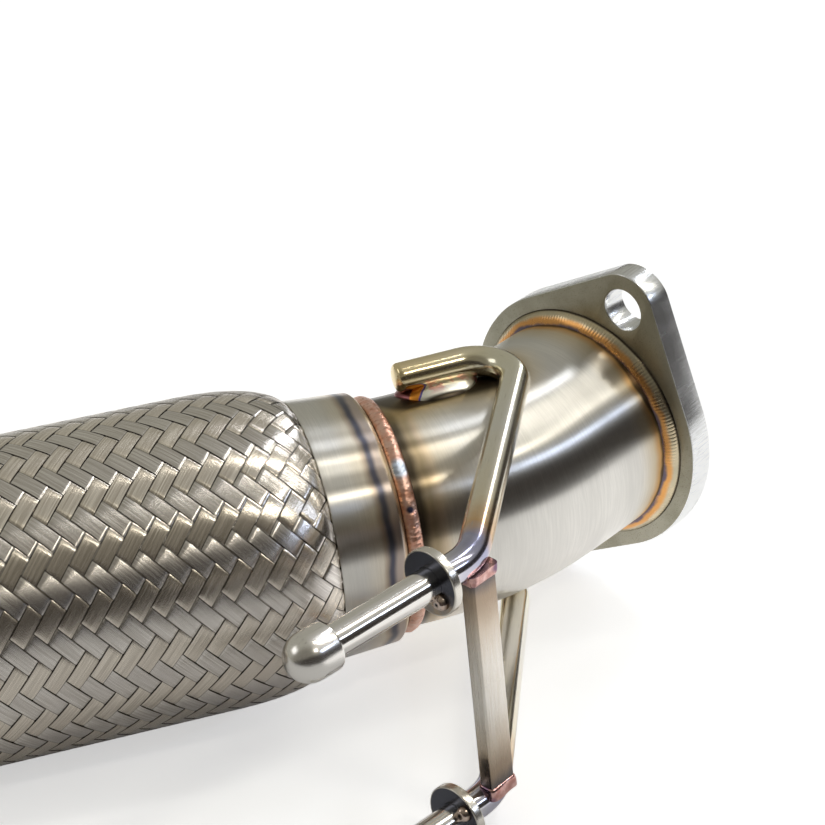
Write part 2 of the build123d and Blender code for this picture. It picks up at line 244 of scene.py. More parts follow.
def unsigned(tree, value):
    """Number without its sign."""
    return sums(tree, "ABSOLUTE", value)


def share(tree, value, low, high):
    """Number that runs smoothly from 0 where value is low to 1 where it is high, kept between them."""
    settings = {"interpolation_type": "SMOOTHSTEP"}
    made = node(tree, "ShaderNodeMapRange", settings, _0=value, _1=low, _2=high, _3=0.0, _4=1.0)
    return made.outputs[0]


def over(tree, amount, under, colour):
    """Colour laid over another by an amount."""
    settings = {"data_type": "RGBA", "clamp_factor": True}
    made = node(tree, "ShaderNodeMix", settings, _0=amount)
    for place, value in ((6, under), (7, colour)):
        if isinstance(value, bpy.types.NodeSocket):
            tree.links.new(value, made.inputs[place])
        else:
            made.inputs[place].default_value = (*value, 1.0)
    return made.outputs[2]


def stained(tree, colour, *layers):
    """Colour under layers of (value, low, high, stain), each as strong as its value's share of the way
    from low to high."""
    for value, low, high, stain in layers:
        colour = over(tree, share(tree, value, low, high), colour, stain)
    return colour


def ramp(tree, value, stops):
    """Colour by a number from 0 to 1, from stops of (number, colour)."""
    made = node(tree, "ShaderNodeValToRGB", Fac=value)
    spots = made.color_ramp.elements
    while len(spots) < len(stops):
        spots.new(1.0)
    for spot, (place, colour) in zip(spots, stops):
        spot.position = place
        spot.color = (*colour, 1.0)
    return made.outputs[0]


def laid_out(tree):
    """The place on the straightened piece, as a socket."""
    return node(tree, "ShaderNodeAttribute", {"attribute_name": "straight"}).outputs["Vector"]


def in_place(tree):
    """The place on the part itself, as a socket."""
    return node(tree, "ShaderNodeTexCoord").outputs["Object"]


def parts(tree, vector):
    """The three numbers of a vector, as sockets."""
    return node(tree, "ShaderNodeSeparateXYZ", Vector=vector).outputs


def grain(tree, place, stretch, scale, detail=3.0):
    """Noise stretched by a factor along each direction, as a number about 0.5."""
    scaled = node(tree, "ShaderNodeMapping", Vector=place, Scale=stretch).outputs[0]
    settings = {"noise_dimensions": "3D"}
    sockets = {"Vector": scaled, "Scale": scale, "Detail": detail, "Roughness": 0.55}
    return node(tree, "ShaderNodeTexNoise", settings, **sockets).outputs[0]


def metal(name, roughness, stretch=0.0, turn=0.0):
    """New bare metal material, its roughness set on the shader. A stretched highlight follows the
    piece's own length, or with a turn of a quarter the way across it."""
    material = bpy.data.materials.new(name)
    material.use_nodes = True
    tree = material.node_tree
    shader = tree.nodes["Principled BSDF"]
    shader.inputs["Metallic"].default_value = 1.0
    shader.inputs["Roughness"].default_value = roughness
    if stretch:
        shader.inputs["Anisotropic"].default_value = stretch
        shader.inputs["Anisotropic Rotation"].default_value = turn
        lengthwise = node(tree, "ShaderNodeTangent", {"direction_type": "UV_MAP", "uv_map": "flow"})
        tree.links.new(lengthwise.outputs[0], shader.inputs["Tangent"])
    return material, tree, shader


def finish(tree, shader, colour, noise, swing, least):
    """Gives a metal its colour, and a roughness that a noise moves by a swing over the least value."""
    tree.links.new(colour, shader.inputs["Base Color"])
    tree.links.new(times(tree, noise, swing, least), shader.inputs["Roughness"])


def relief(tree, shader, height, depth):
    """Bump of a height from 0 to 1 over a depth in metres."""
    sockets = {"Height": height, "Distance": depth, "Strength": 1.0}
    made = node(tree, "ShaderNodeBump", None, **sockets)
    tree.links.new(made.outputs[0], shader.inputs["Normal"])


def steel_tone(shade):
    """The steel's colour, made lighter or darker by a factor."""
    return [shade * c for c in STEEL]


def brushed(name, roughness, tint, worn=0.06):
    """Steel brushed round its girth: fine noise that is long round the tube and short along it moves
    the roughness, the colour and the bump. tint(tree, place, colour) lays heat colours over it."""
    material, tree, shader = metal(name, roughness, 0.965)
    place = laid_out(tree)
    lines = grain(tree, place, (1.0, 0.035, 0.035), 2600.0)
    broad = grain(tree, place, (1.0, 0.25, 0.25), 90.0)
    layers = (lines, 0.25, 0.75, steel_tone(1.04)), (broad, 0.35, 0.8, steel_tone(0.86))
    colour = tint(tree, place, stained(tree, steel_tone(0.9), *layers))
    finish(tree, shader, colour, broad, 0.06, times(tree, lines, worn, roughness - worn / 2))
    relief(tree, shader, lines, 0.012 * MM)
    return material


def fitted(piece, material, slot, *nodes):
    """Gives a new piece its finish and its body, and hides the nodes that it stands for."""
    piece.data.materials.append(material)
    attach(piece, "root")
    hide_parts(*nodes)


STRAW = (0.80, 0.60, 0.30)
GOLD = (0.72, 0.42, 0.13)
BROWN = (0.40, 0.31, 0.19)
# Near black: heat tint beside the welds, and painted shadow at the flange bead's toe.
SOOT_AND_SHADE = (0.07, 0.055, 0.04)
BEAD_TOE = 3.9 * MM
BUTT_TOE = 3.5 * MM
BEAD_HEAT = ((2, 14, STRAW, 0.5), (1.5, 5.5, GOLD, 0.75), (0.6, 2.0, SOOT_AND_SHADE, 0.85))
BUTT_HEAT = ((6, 18, STRAW, 0.3), (5, 9, GOLD, 0.3), (3.4, 6.5, BROWN, 0.85), (0.6, 3.0, SOOT_AND_SHADE, 0.9))
# Partly painted reflection: the near-black band beside the hanger legs stands for burn and for the rods'
# dark reflection in the pipe.
LEG_BURN_AND_REFLECTION = ((13, 24, STRAW, 0.4), (12, 18, (0.42, 0.33, 0.20), 0.7), (10.5, 14.5, SOOT_AND_SHADE, 0.9))
HANGER_START = (-80.8 * MM, 20.5 * MM)
HANGER_WAY = (0.900, -0.436)
HANGER_MIDDLE = 17.0 * MM
HANGER_HALF = 14.0 * MM


def heat(tree, colour, distance, stops):
    """Heat tint over a colour, as layers of (from, to, colour, amount) by distance from the weld in
    millimetres, each strongest at from and gone at to."""
    for near, far, stain, amount in stops:
        level = share(tree, distance, far * MM, near * MM)
        colour = over(tree, times(tree, level, amount), colour, stain)
    return colour


def pipe_heat(tree, place, colour):
    """Tint along the outlet pipe: by distance from the flange bead, from the butt weld, and from the
    line of the hangers' first legs, above and below. The dark band beside the legs stands partly for
    burn and partly for painted reflection of the rods."""
    along = parts(tree, place)[0]
    wander = times(tree, grain(tree, place, EVEN, 60.0, 2.0), 5.0 * MM, -2.5 * MM)
    bead = plus(tree, minus(tree, along, FLANGE_T + BEAD_TOE), wander)
    colour = heat(tree, colour, bead, BEAD_HEAT)
    butt = plus(tree, minus(tree, flex_start - BUTT_TOE, along), wander)
    colour = heat(tree, colour, butt, BUTT_HEAT)
    x, y, _ = parts(tree, in_place(tree))
    x = minus(tree, x, HANGER_START[0])
    y = minus(tree, y, HANGER_START[1])
    run = plus(tree, times(tree, x, HANGER_WAY[0]), times(tree, y, HANGER_WAY[1]))
    gap = minus(tree, times(tree, y, HANGER_WAY[0]), times(tree, x, HANGER_WAY[1]))
    from_middle = unsigned(tree, minus(tree, run, HANGER_MIDDLE))
    past = sums(tree, "MAXIMUM", minus(tree, from_middle, HANGER_HALF), 0.0)
    squares = plus(tree, sums(tree, "POWER", past, 2.0), sums(tree, "POWER", gap, 2.0))
    reach = plus(tree, sums(tree, "SQRT", squares), times(tree, wander, 0.6))
    return heat(tree, colour, reach, LEG_BURN_AND_REFLECTION)


outline = round_off(
    [
        (PIPE_SETBACK, BORE_R),
        (PIPE_SETBACK, PIPE_R),
        (flex_start - BUTT_GAP, PIPE_R),
        (flex_start - BUTT_GAP, BORE_R),
    ],
    0.2 * MM,
)
pipe_steel = brushed("outlet pipe, brushed", 0.29, pipe_heat)
outlet_pipe = girdle("outlet_pipe_tube", refine(outline, 1.6 * MM), 200)
fitted(outlet_pipe, pipe_steel, "brushed_pipe", "outlet_pipe")


# Flex collars
# Pressed end caps of the flex section: a neck that matches the pipe, a rounded shoulder and a
# slightly flared skirt. The sheet was rolled and seam welded, and the seam shows as two fine lines.
COLLAR_R = 41.8 * MM
COLLAR_LIP_R = 43.3 * MM
COLLAR_LEN = 25.3 * MM
COLLAR_SHOULDER = 3.2 * MM
COLLAR_WALL = 1.5 * MM
CAVITY_R = 40.3 * MM
BRAID_LEN = 145.0 * MM
SEAM_ANGLE = math.radians(126.0)
SEAM_GROOVES = (-1.9 * MM, 1.9 * MM)

flex_len = 2 * COLLAR_LEN + BRAID_LEN
flex_end = flex_start + flex_len


def collar_outline(side):
    """Outline of a collar's section: the neck on the butt weld, the shoulder, the skirt and the cavity.
    side is 1 at the outlet end and -1 at the inlet end."""
    rounding = (COLLAR_R - PIPE_R) / 4
    section = [
        (0.0, BORE_R),
        (0.0, PIPE_R),
        (2.1 * MM, PIPE_R),
        (COLLAR_SHOULDER, COLLAR_R - rounding),
        (COLLAR_SHOULDER + rounding, COLLAR_R),
        (COLLAR_LEN, COLLAR_LIP_R),
        (COLLAR_LEN, COLLAR_LIP_R - COLLAR_WALL / 2),
        (COLLAR_LEN / 2, CAVITY_R),
        (COLLAR_SHOULDER, CAVITY_R),
        (COLLAR_SHOULDER, BORE_R),
    ]
    outline = refine(round_off(section, 0.35 * MM, 5), 1.6 * MM)
    outline[:, 0] = flex_start + outline[:, 0] if side > 0 else flex_end - outline[:, 0]
    return outline


def collar_seam(s, angle):
    """Two narrow grooves along the skirt: bell curves across the seam, 0.12 mm deep."""
    place = (angle - SEAM_ANGLE) * COLLAR_R
    depth = sum(np.exp(-(((place - groove) / (0.3 * MM)) ** 2)) for groove in SEAM_GROOVES)
    return -0.12 * MM * depth * np.ones_like(s)


def collar_heat(tree, place, colour):
    """Tint by distance from the nearer butt weld: a pale rim beside the bead, a dark blue ring, and
    then brown and straw."""
    near = unsigned(tree, minus(tree, parts(tree, place)[0], (flex_start + flex_end) / 2))
    uneven = times(tree, grain(tree, place, EVEN, 60.0, 2.0), 4.0 * MM, -2.0 * MM)
    distance = plus(tree, minus(tree, flex_len / 2 - 2.2 * MM, near), uneven)
    layers = [(9, 17, STRAW, 0.25), (8, 10, (0.36, 0.24, 0.16), 0.6), (6.6, 8.6, (0.08, 0.09, 0.14), 0.9)]
    layers += [(4.2, 6.2, (0.60, 0.50, 0.44), 0.85), (1.2, 3.0, STRAW, 0.5)]
    return heat(tree, colour, distance, layers)


collar_steel = brushed("flex collar, satin", 0.29, collar_heat, 0.08)
for end, side in (("outlet", 1), ("inlet", -1)):
    collar = girdle(end + "_end_cap", collar_outline(side), 240, collar_seam, 30)
    fitted(collar, collar_steel, "satin_collar", end + "_collar")


# Braid
# A sleeve of flat strips of fine stainless wire, 36 each way, woven two over two. The strips lie in
# rows along the sleeve that lean one way and the other in turn, and dive under the collars' lips.
STRIPS = 36
CROSSINGS = 40
STRIP_SHARE = 0.965
WIRES = 13
BRAID_SWELL = 8.2 * MM
BRAID_SHOULDER = 36.0 * MM
STRIP_RISE = 0.27 * MM
STRIP_CROWN = 0.07 * MM
STRIP_T = 0.16 * MM
STRIP_SINK = 0.5 * MM
UNDER_LIP = 1.3
WEAVE_R = 50.0 * MM
TAIL_SLOPE = 0.178
WIRE_TONES = ((0.66, 0.60, 0.54), (0.94, 0.88, 0.81), (0.75, 0.69, 0.64))
# Painted shade: the dark colour laid in the hollows between the wires.
PAINTED_SHADE_BETWEEN_WIRES = (0.40, 0.37, 0.33)
# Painted shadow: the near-black line along each strip's edges, for the gap between strips.
PAINTED_SHADOW_AT_STRIP_EDGES = (0.05, 0.04, 0.035)
# Painted reflection: one hand of strips is tinted blue and the other cream, for the coloured lights seen in
# them.
PAINTED_BLUE_SHEEN = (0.95, 0.965, 1.0)
PAINTED_CREAM_SHEEN = (1.02, 1.0, 0.965)

half_step = math.pi / STRIPS
column_len = BRAID_LEN / CROSSINGS


def sleeve_radius(z):
    """Outside of the sleeve at a distance z along the flex section: from each lip it swells quickly,
    then ever more slowly, to a long barrel. Under a lip it tapers with the skirt."""
    lip = COLLAR_LIP_R - COLLAR_WALL / 2 - 0.1 * MM
    past = np.minimum(z, flex_len - z) - COLLAR_LEN
    step = np.clip(past / BRAID_SHOULDER, 0, 1)
    rise = (1 - (1 - step) ** 2.5) ** 0.6
    return lip + (COLLAR_LIP_R + BRAID_SWELL - lip) * rise + TAIL_SLOPE * np.minimum(past, 0)


def dive(x):
    """Height of a strip by crossings passed: 1 over two, -1 under two, with a short steep change
    between them. It is a cosine of period 4, squared off."""
    wave = np.cos(np.pi * x / 2)
    return wave / np.sqrt(wave**2 + 0.04) * math.sqrt(1.04)


def strips(hand):
    """All the strips of one hand, as a grid of strip, place along it and place round its section. Two
    lattice coordinates, one across the strip and one along it, add up to the half steps round the
    sleeve, and their difference is the columns along it. The other hand is the mirror image."""
    bite = np.array([0.0, 0.07, 0.15, 0.3, 0.6, 1.0, 1.4, 1.7, 1.85, 1.93])
    x = (np.arange(-2, 22)[:, None] * 2 + 1 + bite).ravel()
    parity = 0.0 if hand > 0 else 0.5
    x = x[(x > -0.5 + 2 * parity - UNDER_LIP) & (x < CROSSINGS - 0.5 + 2 * parity + UNDER_LIP)]
    top = np.linspace(-0.5, 0.5, 8)
    offset = np.concatenate([top, [0.25, -0.25]]) * STRIP_SHARE
    lift = np.concatenate([STRIP_CROWN * (1 - (2 * top) ** 4), [-STRIP_T, -STRIP_T]])
    number = np.arange(STRIPS)[:, None, None]
    own = number + parity + offset[None, None, :]
    other = number + 0.5 - parity + x[None, :, None]
    around = own + other if hand > 0 else 3 - own - other
    z = COLLAR_LEN + (other - own) * column_len
    height = dive(x[None, :, None] + 2 * number) * STRIP_RISE + lift[None, None, :] - STRIP_SINK
    angle = np.pi / 2 - around * half_step
    s = flex_start + z
    radius = sleeve_radius(z) + height
    points = round_line(s, radius, angle)
    flow_along = other * math.hypot(column_len, half_step * WEAVE_R)
    flow = np.stack(np.broadcast_arrays(flow_along, own - parity), -1)
    return points, flow, laid_straight(s, radius, angle)


def braid_piece(name, hand):
    """Mesh of one hand's strips, each a closed flat tube, joined as one piece."""
    points, flow, straight = strips(hand)
    count, rows, columns = points.shape[:3]
    corner_rows, corner_columns = corner_grid(rows - 1, columns)
    start = (np.arange(count) * rows * columns)[:, None, None]
    quads = (corner_rows * columns + corner_columns % columns)[None] + start
    ends = np.stack([np.arange(columns), np.arange(columns) + (rows - 1) * columns])[None] + start
    faces = quads.reshape(-1, 4).tolist() + ends.reshape(-1, columns).tolist()
    corner = np.concatenate([quads.ravel(), ends.ravel()])
    return mesh_piece(name, points, faces, flow.reshape(-1, 2)[corner], straight, 50)


def braid_wire(name, tint):
    """Bright wires side by side in each strip: a rounded bump for each wire across the strip, with its own
    shade, and a colour that drifts slowly over the sleeve. Painted shade darkens the hollows between the
    wires and the strip's edges, and tint is a painted reflection of the coloured lights, blue for one hand
    of strips and cream for the other."""
    material, tree, shader = metal(name, 0.24, 0.92, 0.25)
    dull, bright, worn = [[a * b for a, b in zip(tone, tint)] for tone in WIRE_TONES]
    flow = node(tree, "ShaderNodeUVMap", {"uv_map": "flow"}).outputs[0]
    along, across, _ = parts(tree, flow)
    lanes = plus(tree, times(tree, across, WIRES / STRIP_SHARE), 0.5)
    hollow = unsigned(tree, minus(tree, sums(tree, "FRACT", lanes), 0.5))
    round_top = minus(tree, 1.0, sums(tree, "POWER", times(tree, hollow, 2.0), 2.5))
    wire = node(tree, "ShaderNodeCombineXYZ", X=along, Y=sums(tree, "FLOOR", lanes)).outputs[0]
    tone = grain(tree, wire, (45.0, 3.7, 1.0), 1.0, 2.0)
    patch = grain(tree, laid_out(tree), EVEN, 30.0, 2.0)
    colour = stained(tree, dull, (tone, 0.3, 0.7, bright), (patch, 0.45, 0.75, worn))
    # Painted shade in the hollows between the wires, where round_top is low.
    colour = over(tree, share(tree, round_top, 0.0, 0.6), PAINTED_SHADE_BETWEEN_WIRES, colour)
    # Painted shadow along the strip's edges, where from_middle nears one half.
    from_middle = unsigned(tree, minus(tree, sums(tree, "FRACT", plus(tree, across, 0.5)), 0.5))
    colour = stained(tree, colour, (from_middle, 0.44, 0.475, PAINTED_SHADOW_AT_STRIP_EDGES))
    finish(tree, shader, colour, tone, 0.05, 0.225)
    relief(tree, shader, round_top, 0.010 * MM)
    return material


# Painted reflection: the right hand is tinted blue and the left hand cream, though both are the same wire.
blue_sheen_wire = braid_wire("braid wire, right hand", PAINTED_BLUE_SHEEN)
cream_sheen_wire = braid_wire("braid wire, left hand", PAINTED_CREAM_SHEEN)
fitted(braid_piece("braid_strips_right_hand", 1), blue_sheen_wire, "braid_wire", "braid")
fitted(braid_piece("braid_strips_left_hand", -1), cream_sheen_wire, "braid_wire", "braid")


# Bellows and liner
# Inside the braid a thin corrugated tube holds the gas, and a banded tube shields it. Both are plain
# rolled sheet, and the bellows is only a dark ground behind the weave: its low tone is painted shade.


def sheet_steel(name, shade, roughness):
    """Plain rolled sheet: a steel tone with a fine mottle."""
    material, tree, shader = metal(name, roughness)
    mottle = grain(tree, in_place(tree), EVEN, 220.0)
    colour = stained(tree, steel_tone(0.8 * shade), (mottle, 0.3, 0.7, steel_tone(shade)))
    finish(tree, shader, colour, mottle, 0.15, roughness)
    relief(tree, shader, mottle, 0.02 * MM)
    return material


def refinish(name, material):
    """Gives a carried-over piece its finish."""
    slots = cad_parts[name].data.materials
    slots.clear()
    slots.append(material)


# Painted shade: the bellows' tone of 0.22 stands for the dark inside, seen through the weave's gaps.
refinish("bellows", sheet_steel("bellows sheet", 0.22, 0.45))
refinish("interlock_liner", sheet_steel("liner strip", 0.75, 0.30))


# Flanges
# Two diamond plates, water cut from steel plate and blasted, with their edges milled bright. Each has
# two plain bolt holes and is bored for the pipe.
BODY_R = 47.5 * MM
LOBE_R = 13.0 * MM
BOLT_CIRCLE = 106.0 * MM
HOLE_D = 14.5 * MM
EDGE_CUT = 0.6 * MM
OUTLET_CLOCK = math.radians(110.0)
INLET_CLOCK = 0.0
INLET_LEN = 46.0 * MM

inlet_face = flex_end + BUTT_GAP + INLET_LEN + FLANGE_T


def plate_outline(count):
    """Outline of the plate, as a band drawn tight round the body and both lobes: for each outward
    direction, the lobe's centre where that lies further out, plus its radius in that direction."""
    switch = (BODY_R - LOBE_R) / (BOLT_CIRCLE / 2)
    angle = full_turn(count)
    lobe = np.abs(np.cos(angle)) > switch
    middle = np.where(lobe, np.sign(np.cos(angle)) * BOLT_CIRCLE / 2, 0.0)
    radius = np.where(lobe, LOBE_R, BODY_R)
    return np.stack([middle + radius * np.cos(angle), radius * np.sin(angle)], -1)


def circle(radius, x, count):
    """Round outline about a point on the bolt line."""
    angle = full_turn(count)
    return np.stack([x + radius * np.cos(angle), radius * np.sin(angle)], -1)


def plate(name, s, heading, clock, materials):
    """Flange plate: flat curve of the outline and its holes, given its thickness and its broken edges,
    then made a mesh, turned by the clock angle and set on the centre line at s, facing heading."""
    curve = bpy.data.curves.new(name, "CURVE")
    curve.dimensions = "2D"
    curve.fill_mode = "BOTH"
    curve.extrude = FLANGE_T / 2 - EDGE_CUT
    curve.bevel_depth = EDGE_CUT
    curve.bevel_resolution = 2
    curve.offset = -EDGE_CUT
    holes = [circle(HOLE_D / 2, side * BOLT_CIRCLE / 2, 72) for side in (-1, 1)]
    for points in [plate_outline(240), circle(PIPE_R + 0.1 * MM, 0.0, 200)] + holes:
        spline = curve.splines.new("POLY")
        spline.points.add(len(points) - 1)
        spline.points.foreach_set("co", np.pad(points, ((0, 0), (0, 2))).ravel())
        spline.use_cyclic_u = True
    flat = placed(name + "_curve", curve)
    bpy.context.view_layer.update()
    mesh = bpy.data.meshes.new_from_object(flat)
    bpy.data.objects.remove(flat)
    mesh.name = name
    centre, across = centre_line(np.array([s]))
    level = Vector(across[0]) if heading.x > 0 else Vector(across[0]) * -1
    place = Matrix((level, (0.0, 0.0, 1.0), heading)).transposed().to_4x4()
    drop = Matrix.Translation((0.0, 0.0, -FLANGE_T / 2))
    mesh.transform(Matrix.Translation(centre[0]) @ place @ Matrix.Rotation(clock, 4, "Z") @ drop)
    face_out(mesh, 0.001 * MM)
    mesh.shade_smooth()
    mesh.set_sharp_from_angle(angle=math.radians(25))
    piece = placed(name, mesh)
    piece.data.materials.clear()
    fitted(piece, materials[0], "blasted_plate", name.replace("_plate", ""))
    piece.data.materials.append(materials[1])
    facing = np.zeros(len(mesh.polygons) * 3, np.float32)
    mesh.polygons.foreach_get("normal", facing)
    edge = np.abs(facing.reshape(-1, 3) @ np.array(heading)) < 0.8
    mesh.polygons.foreach_set("material_index", edge.astype(np.int32))


def blasted_steel():
    """Blasted plate: dull steel with a fine even pitting and faint clouds."""
    material, tree, shader = metal("flange, blasted face", 0.42)
    place = in_place(tree)
    pits = grain(tree, place, EVEN, 2400.0, 2.0)
    clouds = (grain(tree, place, EVEN, 70.0), 0.3, 0.75, (0.34, 0.325, 0.25))
    colour = stained(tree, (0.46, 0.44, 0.36), clouds, (pits, 0.55, 0.75, (0.24, 0.225, 0.17)))
    finish(tree, shader, colour, pits, 0.2, 0.33)
    relief(tree, shader, pits, 0.04 * MM)
    return material


def milled_steel():
    """Milled edge: bright steel with fine straight marks across the plate's thickness."""
    material, tree, shader = metal("flange, milled edge", 0.26)
    place = in_place(tree)
    marks = grain(tree, place, (0.12, 1.0, 1.0), 1900.0, 2.0)
    broad = grain(tree, place, (0.2, 1.0, 1.0), 150.0, 2.0)
    colour = stained(tree, (0.70, 0.70, 0.70), (marks, 0.3, 0.7, (0.86, 0.865, 0.88)))
    finish(tree, shader, colour, broad, 0.12, 0.20)
    relief(tree, shader, marks, 0.012 * MM)
    return material


flange_steels = (blasted_steel(), milled_steel())
flow_out = Vector((-math.cos(BEND_ANGLE), math.sin(BEND_ANGLE), 0.0))
plate("outlet_flange_plate", 0.0, Vector((1.0, 0.0, 0.0)), OUTLET_CLOCK, flange_steels)
plate("inlet_flange_plate", inlet_face, flow_out, INLET_CLOCK, flange_steels)


# Inlet pipe
# Straight tube from the far collar into the second flange, of the same brushed stock.


def inlet_heat(tree, place, colour):
    """Tint by distance from the butt weld at one end and the flange bead at the other."""
    along = parts(tree, place)[0]
    colour = heat(tree, colour, minus(tree, along, flex_end + BUTT_TOE), BUTT_HEAT)
    return heat(tree, colour, minus(tree, inlet_face - FLANGE_T - BEAD_TOE, along), BEAD_HEAT)


outline = round_off(
    [
        (flex_end + BUTT_GAP, BORE_R),
        (flex_end + BUTT_GAP, PIPE_R),
        (inlet_face - PIPE_SETBACK, PIPE_R),
        (inlet_face - PIPE_SETBACK, BORE_R),
    ],
    0.2 * MM,
)
inlet_pipe = girdle("inlet_pipe_tube", refine(outline, 2.5 * MM), 160)
fitted(inlet_pipe, brushed("inlet pipe, brushed", 0.29, inlet_heat), "brushed_pipe", "inlet_pipe")


# Flange beads
# A neat fillet bead joins each pipe to its flange, laid in fine even ripples and stained straw, with
# an orange and a dark violet line at the pipe's toe. A small seal bead lies inside each bore.
TOE_ON_FLANGE = 4.15 * MM
TOE_ON_PIPE = BEAD_TOE
BEAD_CROWN = 0.6 * MM
BEAD_RIPPLES = 210


def fillet_outline(face, side):
    """Section of a fillet bead: a bow from the toe on the flange to the toe on the pipe, closed
    through the corner between them. side is the way from the flange to the pipe along the line."""
    t = np.linspace(0, 1, 15)
    bow = BEAD_CROWN * 4 * t * (1 - t)
    s = FLANGE_T + TOE_ON_PIPE * t + bow * 0.7
    radius = PIPE_R + TOE_ON_FLANGE * (1 - t) + bow * 0.7
    section = np.stack([s, radius], -1)
    section = np.concatenate([section, [(FLANGE_T, PIPE_R)]])
    return np.stack([face + side * section[:, 0], section[:, 1]], -1)


def fine_ripples(face, side):
    """Ripples of a fillet bead: rounded steps round the pipe, bent back toward both toes, which
    fade out at the toes, over a slow swell."""

    def ripple(s, angle):
        t = np.clip((side * (s - face) - FLANGE_T) / TOE_ON_PIPE, 0, 1)
        bent = BEAD_RIPPLES * angle + 2.2 * (2 * t - 1) ** 2
        wave = 0.5 + 0.5 * np.cos(bent) - 0.25 * np.cos(2 * bent)
        swell = 0.10 * np.sin(7 * angle) + 0.08 * np.sin(23 * angle + 1.0)
        return (0.07 * wave + swell) * MM * 4 * t * (1 - t)

    return ripple


def bead_steel():
    """Straw coloured weld metal: tan with olive clouds, an orange and then a dark violet line at the
    pipe's toe, and a near-black line of painted shadow at the flange's toe, in the corner against the plate."""
    material, tree, shader = metal("flange bead, straw", 0.26)
    place = laid_out(tree)
    along = parts(tree, place)[0]
    from_outlet = minus(tree, along, FLANGE_T)
    from_inlet = minus(tree, inlet_face - FLANGE_T, along)
    run = sums(tree, "DIVIDE", sums(tree, "MINIMUM", from_outlet, from_inlet), TOE_ON_PIPE)
    clouds = grain(tree, place, EVEN, 110.0)
    uneven = plus(tree, run, times(tree, clouds, 0.5, -0.25))
    layers = [(clouds, 0.3, 0.7, (0.50, 0.45, 0.33)), (uneven, 0.50, 0.78, (0.72, 0.36, 0.12))]
    # Painted shadow: the near-black line at the flange's toe stands for the shade in the corner against the
    # plate.
    layers += [(uneven, 0.86, 1.0, (0.16, 0.13, 0.16)), (run, 0.26, 0.10, SOOT_AND_SHADE)]
    finish(tree, shader, stained(tree, (0.66, 0.55, 0.37), *layers), clouds, 0.2, 0.18)
    relief(tree, shader, grain(tree, place, EVEN, 900.0), 0.03 * MM)
    return material


straw_bead = bead_steel()
for end, face, side in (("outlet", 0.0, 1), ("inlet", inlet_face, -1)):
    bead = girdle(end + "_fillet_bead", fillet_outline(face, side), 1500, fine_ripples(face, side), 50)
    fitted(bead, straw_bead, "straw_weld", end + "_flange_weld")
    refinish(end + "_root_weld", straw_bead)


# Butt welds
# The pipes meet the collars in full depth welds. Each bead is coarse, coppery pink, uneven in width
# and darkened at both edges, with a pale blue patch and a dark crater where the arc stopped.
BUTT_WIDTH = 5.6 * MM
BUTT_CROWN = 1.6 * MM
BUTT_RIPPLES = 62
BUTT_SPOTS = ((127.0, 4.5 * MM, (0.66, 0.74, 0.90)), (147.0, 1.7 * MM, (0.05, 0.05, 0.09)))


def butt_outline(middle):
    """Section of a butt bead: a flattened bow over the joint, and the root through the wall."""
    t = np.linspace(-1, 1, 17)
    bow = np.stack([middle + t * BUTT_WIDTH / 2, PIPE_R + BUTT_CROWN * (1 - t**2) ** 0.7], -1)
    root = [
        (middle + BUTT_GAP / 2, PIPE_R - 0.1 * MM),
        (middle + BUTT_GAP / 2, BORE_R),
        (middle - BUTT_GAP / 2, BORE_R),
        (middle - BUTT_GAP / 2, PIPE_R - 0.1 * MM),
    ]
    return np.concatenate([bow, root])


def coarse_ripples(middle):
    """Ripples of a butt bead: steps of uneven length, bent back at the edges, over lumps."""

    def ripple(s, angle):
        t = (s - middle) / (BUTT_WIDTH / 2)
        outside = np.clip(1 - t**2, 0, 1) ** 0.6
        drift = 1.3 * np.sin(3 * angle + 0.4) + 0.9 * np.sin(8 * angle + 2.0)
        bent = BUTT_RIPPLES * angle + drift + 1.9 * t**2
        step = 0.5 + 0.5 * np.cos(bent) - 0.3 * np.sin(2 * bent)
        lumps = 0.5 * np.sin(5 * angle + 3 * t) + 0.5 * np.sin(19 * angle - 2 * t)
        return (0.13 * step + 0.16 * lumps - 0.16) * MM * outside * (np.abs(t) < 1)

    return ripple


def length(tree, x, y, z):
    """Length of the vector of three numbers."""
    vector = node(tree, "ShaderNodeCombineXYZ", X=x, Y=y, Z=z).outputs[0]
    return node(tree, "ShaderNodeVectorMath", {"operation": "LENGTH"}, _0=vector).outputs["Value"]


def butt_steel():
    """Copper pink weld metal: pink and brown clouds, dark edges, a pale blue patch and a dark crater."""
    material, tree, shader = metal("butt weld, copper", 0.3)
    place = laid_out(tree)
    along, level, up = parts(tree, place)
    near = unsigned(tree, minus(tree, along, (flex_start + flex_end) / 2))
    centre_gap = minus(tree, near, flex_len / 2 + BUTT_GAP / 2)
    edge = sums(tree, "DIVIDE", unsigned(tree, centre_gap), BUTT_WIDTH / 2)
    clouds = (grain(tree, place, EVEN, 260.0), 0.3, 0.72, (0.88, 0.60, 0.50))
    streaks = grain(tree, place, (0.4, 1.0, 1.0), 900.0)
    colour = stained(tree, (0.82, 0.42, 0.30), clouds, (streaks, 0.5, 0.75, (0.55, 0.26, 0.18)))
    for angle, size, stain in BUTT_SPOTS:
        across = minus(tree, level, (PIPE_R + BUTT_CROWN) * math.cos(math.radians(angle)))
        above = minus(tree, up, (PIPE_R + BUTT_CROWN) * math.sin(math.radians(angle)))
        gap = length(tree, centre_gap, across, above)
        colour = stained(tree, colour, (gap, size, 0.4 * size, stain))
    colour = stained(tree, colour, (edge, 0.78, 1.0, (0.10, 0.06, 0.06)))
    finish(tree, shader, colour, streaks, 0.25, 0.2)
    relief(tree, shader, streaks, 0.22 * MM)
    return material


